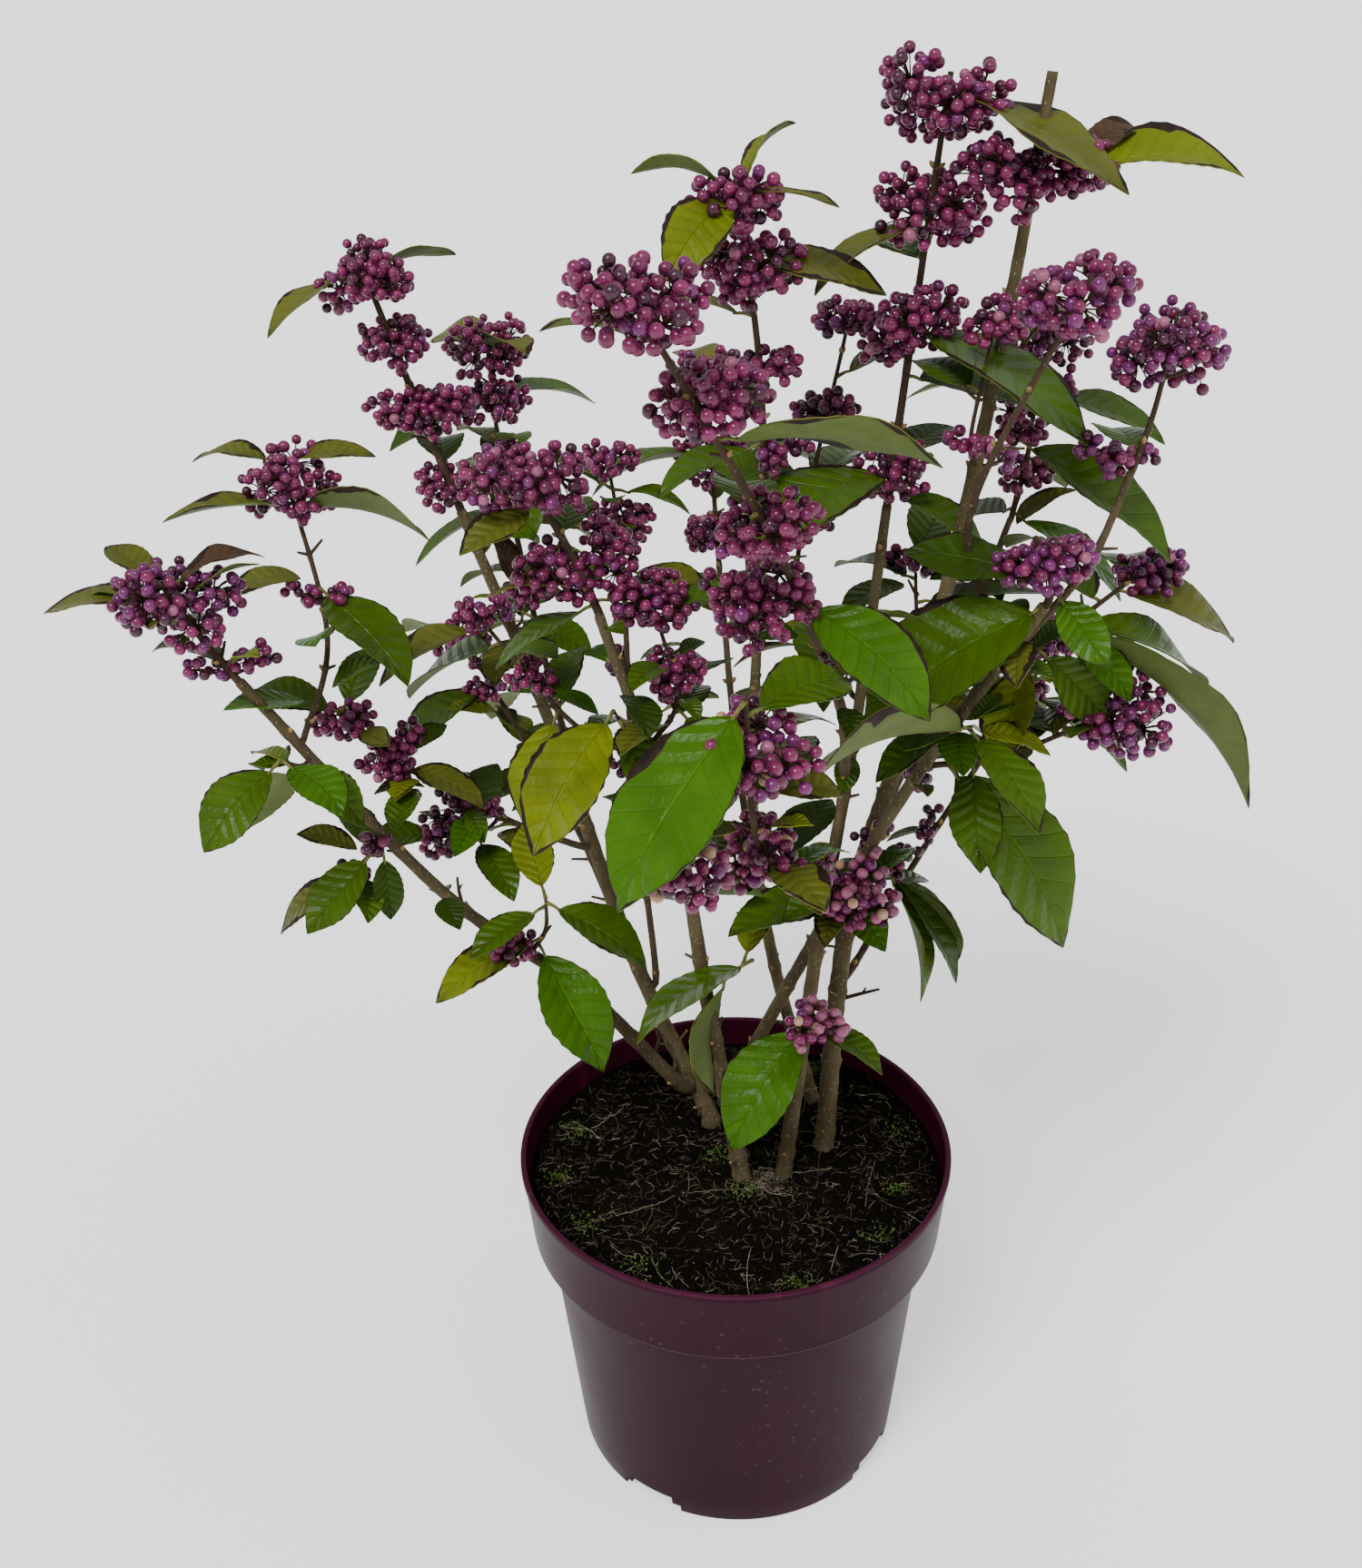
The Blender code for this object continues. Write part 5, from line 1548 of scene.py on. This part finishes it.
def leaf_outline(t):
    """Half width of the blade along its length: broad in the middle, with a short drawn-out tip."""
    body = max(math.sin(math.pi * t ** WIDEST), 0.0) ** FULLNESS
    return body * (1 - TIP_DRAW * max(0.0, (t - TIP_START) / (1 - TIP_START)) ** 1.4) + END_WIDTH


class BEAUTYBERRY_OT_fruit(bpy.types.Operator):
    """Hangs the berries on branched stalks round the nodes of each shoot"""
    bl_idname = "beautyberry.fruit"
    bl_label = "Fruit"

    def execute(self, context):
        settings = context.scene.beautyberry_berries
        stalks = Mesh()
        berries = {tint: [] for tint in BERRY_TINTS}
        for name, shoot in SHOOTS.items():
            path = SHOOT_PATHS[name][0]
            for index, fruit in enumerate(shoot[4]):
                rng = random.Random(f"{name}{index}fruit")
                shares = RIPENESS_SHARES[FRUIT_RIPENESS.get(name, "ripe")]
                for berry in hang_bunch(stalks, path, settings, rng, *fruit):
                    berries[rng.choices(list(BERRY_TINTS), shares)[0]].append(berry)
        for name, (path, _) in LIMBS.items():
            rng = random.Random(f"{name}fruit")
            for place in LIMB_LEAF_PLACES[:3]:
                fruit = place, rng.uniform(*INNER_WIDTHS), rng.uniform(0, 360), rng.uniform(*INNER_STALKS)
                if rng.random() < INNER_FRUIT_SHARE and is_leafy(along(path, place)):
                    for berry in hang_bunch(stalks, path, settings, rng, *fruit):
                        # The small inner bunches all take the dark shares: painted shade inside the crown.
                        tint = rng.choices(list(BERRY_TINTS), RIPENESS_SHARES["in_painted_shade"])[0]
                        berries[tint].append(berry)
        stalk = plain_finish("fruit_stalk", settings.stalk_colour, 0.7, 500)
        stalks.piece("fruit_stalks", [stalk], "foliage")
        tree = placing_tree("berries_on_points", (("Roundness", "Int"),), berries_on_points)
        for tint, spots in berries.items():
            mesh = bpy.data.meshes.new(f"berry_spots_{tint}")
            mesh.from_pydata([tuple(centre) for centre, _ in spots], [], [])
            size = mesh.attributes.new(RADIUS_FIELD, "FLOAT", "POINT")
            size.data.foreach_set("value", [radius for _, radius in spots])
            skin = berry_finish(f"berry_{tint}", *BERRY_TINTS[tint])
            bunches = grown(f"berries_{tint}", mesh, tree, {
                "Roundness": settings.roundness, "Material": skin})
            bunches.shade_smooth()
            finished(f"berries_{tint}", bunches)
        return {"FINISHED"}


# Share of the inner nodes of the limbs that bear a small bunch, and its width and stalk.
INNER_FRUIT_SHARE, INNER_WIDTHS, INNER_STALKS = 0.45, (11, 17), (5, 9)
# Radii of a bunch's stalk, of its arms and of a berry's own stalk, how far the first sags as a share of its
# length, and how far the others rise.
STALK_RADII, ARM_RADII, PEDICEL_RADII = (0.95, 0.8, 0.7), (0.62, 0.52, 0.45), (0.42, 0.34, 0.32)
STALK_SAG, ARM_RISE = 0.04, 0.5
# Fewest berries of a bunch, tries for each, their flatness, radii and the overlap that they may have.
FEWEST, TRIES, FLATNESS, BERRY_RADII, OVERLAP = 4, 16, 0.85, (0.84, 1.04), 0.94


def hang_bunch(stalks, path, settings, rng, place, width, heading=0, stalk=0, rise=STALK_RISE):
    """The berries of one bunch, whose stalks it adds: arms from the node, and a pedicel to each berry."""
    node = along(path, min(place, 1.0))
    centre = node
    if stalk:
        centre = node + heading_vector(heading, rise) * stalk * MM
        middle = node.lerp(centre, 0.5) - Vector((0, 0, STALK_SAG * stalk * MM))
        stalks.tube([node, middle, centre], scaled(STALK_RADII), 6)
    width *= settings.growth
    reach = width * MM / 2 - settings.radius * 0.4
    lobes = bunch_lobes(centre, reach, width, rng)
    wanted = int(FEWEST + settings.fullness * (width * MM / (2 * settings.radius)) ** 2)
    spots = []
    for _ in range(wanted * TRIES):
        if len(spots) == wanted:
            break
        lobe, size = rng.choice(lobes)
        out = Vector((rng.gauss(0, 1), rng.gauss(0, 1), rng.gauss(0, 1))).normalized()
        spot = lobe + Vector((out.x, out.y, out.z * FLATNESS)) * size * rng.uniform(0.35, 1.0) ** 0.5
        radius = settings.radius * rng.uniform(*BERRY_RADII)
        if (spot - centre).length < reach and all((spot - other).length > (radius + wide) * OVERLAP
                                                  for other, wide in spots):
            spots.append((spot, radius))
    rise_by = Vector((0, 0, ARM_RISE * MM))
    for lobe, _ in lobes:
        stalks.tube([centre, centre.lerp(lobe, 0.5) + rise_by, lobe], scaled(ARM_RADII), 5)
    for spot, _ in spots:
        lobe = min((lobe for lobe, _ in lobes), key=lambda point: (point - spot).length)
        stalks.tube([lobe, lobe.lerp(spot, 0.5) + rise_by, spot], scaled(PEDICEL_RADII), 3)
    return spots


# Widths in millimetres up to which a bunch has one, two or three lobes, and the most that it has. Then how
# far a lobe lies from the centre and how large it is, as shares of the bunch's reach, how far it lies up or
# down, and how far it strays from its even place round the stem, in radians.
LOBE_WIDTHS, MOST_LOBES = {16: 1, 22: 2, 32: 3}, 5
LOBE_PLACES, LOBE_SIZES, LOBE_RISES, LOBE_SWAY = (0.42, 0.56), (0.44, 0.6), (-0.55, 0.7), 0.3


def bunch_lobes(centre, reach, width, rng):
    """Centres and radii of the flat-topped lobes that a bunch is made of, set round the stem."""
    count = next((count for limit, count in LOBE_WIDTHS.items() if width < limit), MOST_LOBES)
    if count == 1:
        return [(centre, reach)]
    start = rng.uniform(0, 2 * math.pi)
    lobes = []
    for index in range(count):
        angle = start + 2 * math.pi * index / count + rng.uniform(-LOBE_SWAY, LOBE_SWAY)
        out = Vector((math.cos(angle), math.sin(angle), rng.uniform(*LOBE_RISES)))
        lobes.append((centre + out * reach * rng.uniform(*LOBE_PLACES), reach * rng.uniform(*LOBE_SIZES)))
    return lobes


RADIUS_FIELD = "berry_radius"


def berries_on_points(new, link, given):
    """A round berry on each point, at the point's own radius."""
    points, ball, size = (
        new(f"GeometryNode{kind}") for kind in ("MeshToPoints", "MeshIcoSphere", "InputNamedAttribute"))
    size.data_type = "FLOAT"
    size.inputs["Name"].default_value = RADIUS_FIELD
    link(given["Geometry"], points.inputs["Mesh"])
    link(given["Roundness"], ball.inputs["Subdivisions"])
    return {"Points": points.outputs[0], "Instance": ball.outputs["Mesh"], "Scale": size.outputs["Attribute"]}


FLOOR_LEVEL = -0.0004
FLOOR_GLOW = 0.55
SKY_STRENGTH = 0.62


class BEAUTYBERRY_OT_stage(bpy.types.Operator):
    """Sets the floor, the soft lights and the camera"""
    bl_idname = "beautyberry.stage"
    bl_label = "Stage"

    def execute(self, context):
        settings = context.scene.beautyberry_stage
        half = settings.floor_size / 2
        mesh = bpy.data.meshes.new("floor")
        corners = ((-half, -half), (half, -half), (half, half), (-half, half))
        mesh.from_pydata([(x, y, FLOOR_LEVEL) for x, y in corners], [], [(0, 1, 2, 3)])
        floor = helper("floor", mesh)
        finish = Finish("pale_floor", 0.9, specular=0.1)
        finish.colour(tuple(settings.floor_colour))
        finish.shader.inputs["Emission Color"].default_value = (1.0, 1.0, 1.0, 1.0)
        finish.shader.inputs["Emission Strength"].default_value = FLOOR_GLOW
        mesh.materials.append(finish.material)
        world = bpy.data.worlds.new("studio")
        world.use_nodes = True
        sky = world.node_tree.nodes["Background"]
        sky.inputs["Color"].default_value = (1.0, 1.0, 1.0, 1.0)
        sky.inputs["Strength"].default_value = SKY_STRENGTH
        context.scene.world = world
        for name, heading, rise, spread, power in LIGHTS:
            add_light(name, heading_vector(heading, rise), spread, power)
        add_camera(context.scene, settings)
        return {"FINISHED"}


# Soft suns: name, heading and height that they shine from, width in degrees and strength.
LIGHTS = (("key", 240, 52, 24, 2.9), ("fill", -30, 38, 70, 0.8))


def add_light(name, source, spread, power):
    light = bpy.data.lights.new(name, "SUN")
    light.angle = math.radians(spread)
    light.energy = power
    lamp = bpy.data.objects.new(name, light)
    lamp.rotation_mode = "QUATERNION"
    lamp.rotation_quaternion = source.to_track_quat("Z", "Y")
    bpy.context.scene.collection.objects.link(lamp)


def add_camera(scene, settings):
    """The camera at the photograph's place and angle."""
    data = bpy.data.cameras.new("camera")
    data.lens = settings.lens
    data.sensor_width = 36.0
    data.clip_start = 0.01
    camera = bpy.data.objects.new("camera", data)
    turn = Matrix.Rotation(math.pi / 2 - settings.pitch, 4, "X") @ Matrix.Rotation(settings.roll, 4, "Z")
    camera.matrix_world = Matrix.Translation(CAMERA_PLACE) @ turn
    scene.collection.objects.link(camera)
    scene.camera = camera


SETTINGS = {
    "beautyberry_pot": PotSettings, "beautyberry_soil": SoilSettings, "beautyberry_limbs": LimbSettings,
    "beautyberry_leaves": LeafSettings, "beautyberry_berries": BerrySettings,
    "beautyberry_stage": StageSettings,
}
OPERATORS = (
    BEAUTYBERRY_OT_stage, BEAUTYBERRY_OT_pot, BEAUTYBERRY_OT_soil, BEAUTYBERRY_OT_limbs,
    BEAUTYBERRY_OT_shoots, BEAUTYBERRY_OT_leaves, BEAUTYBERRY_OT_fruit,
)


class BEAUTYBERRY_PT_panel(bpy.types.Panel):
    """Lists the pieces of the potted beautyberry"""
    bl_idname = "BEAUTYBERRY_PT_panel"
    bl_label = "Beautyberry"
    bl_space_type = "VIEW_3D"
    bl_region_type = "UI"
    bl_category = "Beautyberry"

    def draw(self, context):
        for operator in OPERATORS:
            self.layout.operator(operator.bl_idname)
        for name in SETTINGS:
            box = self.layout.box()
            settings = getattr(context.scene, name)
            for field in settings.bl_rna.properties:
                if not field.is_readonly and field.identifier not in ("name", "rna_type"):
                    box.prop(settings, field.identifier)


def register():
    for name, settings in SETTINGS.items():
        bpy.utils.register_class(settings)
        setattr(bpy.types.Scene, name, PointerProperty(type=settings))
    for operator in OPERATORS:
        bpy.utils.register_class(operator)
    bpy.utils.register_class(BEAUTYBERRY_PT_panel)


def unregister():
    bpy.utils.unregister_class(BEAUTYBERRY_PT_panel)
    for operator in reversed(OPERATORS):
        bpy.utils.unregister_class(operator)
    for name, settings in SETTINGS.items():
        delattr(bpy.types.Scene, name)
        bpy.utils.unregister_class(settings)


def main():
    register()
    for operator in OPERATORS:
        group, action = operator.bl_idname.split(".")
        getattr(getattr(bpy.ops, group), action)()


if __name__ == "__main__":
    main()
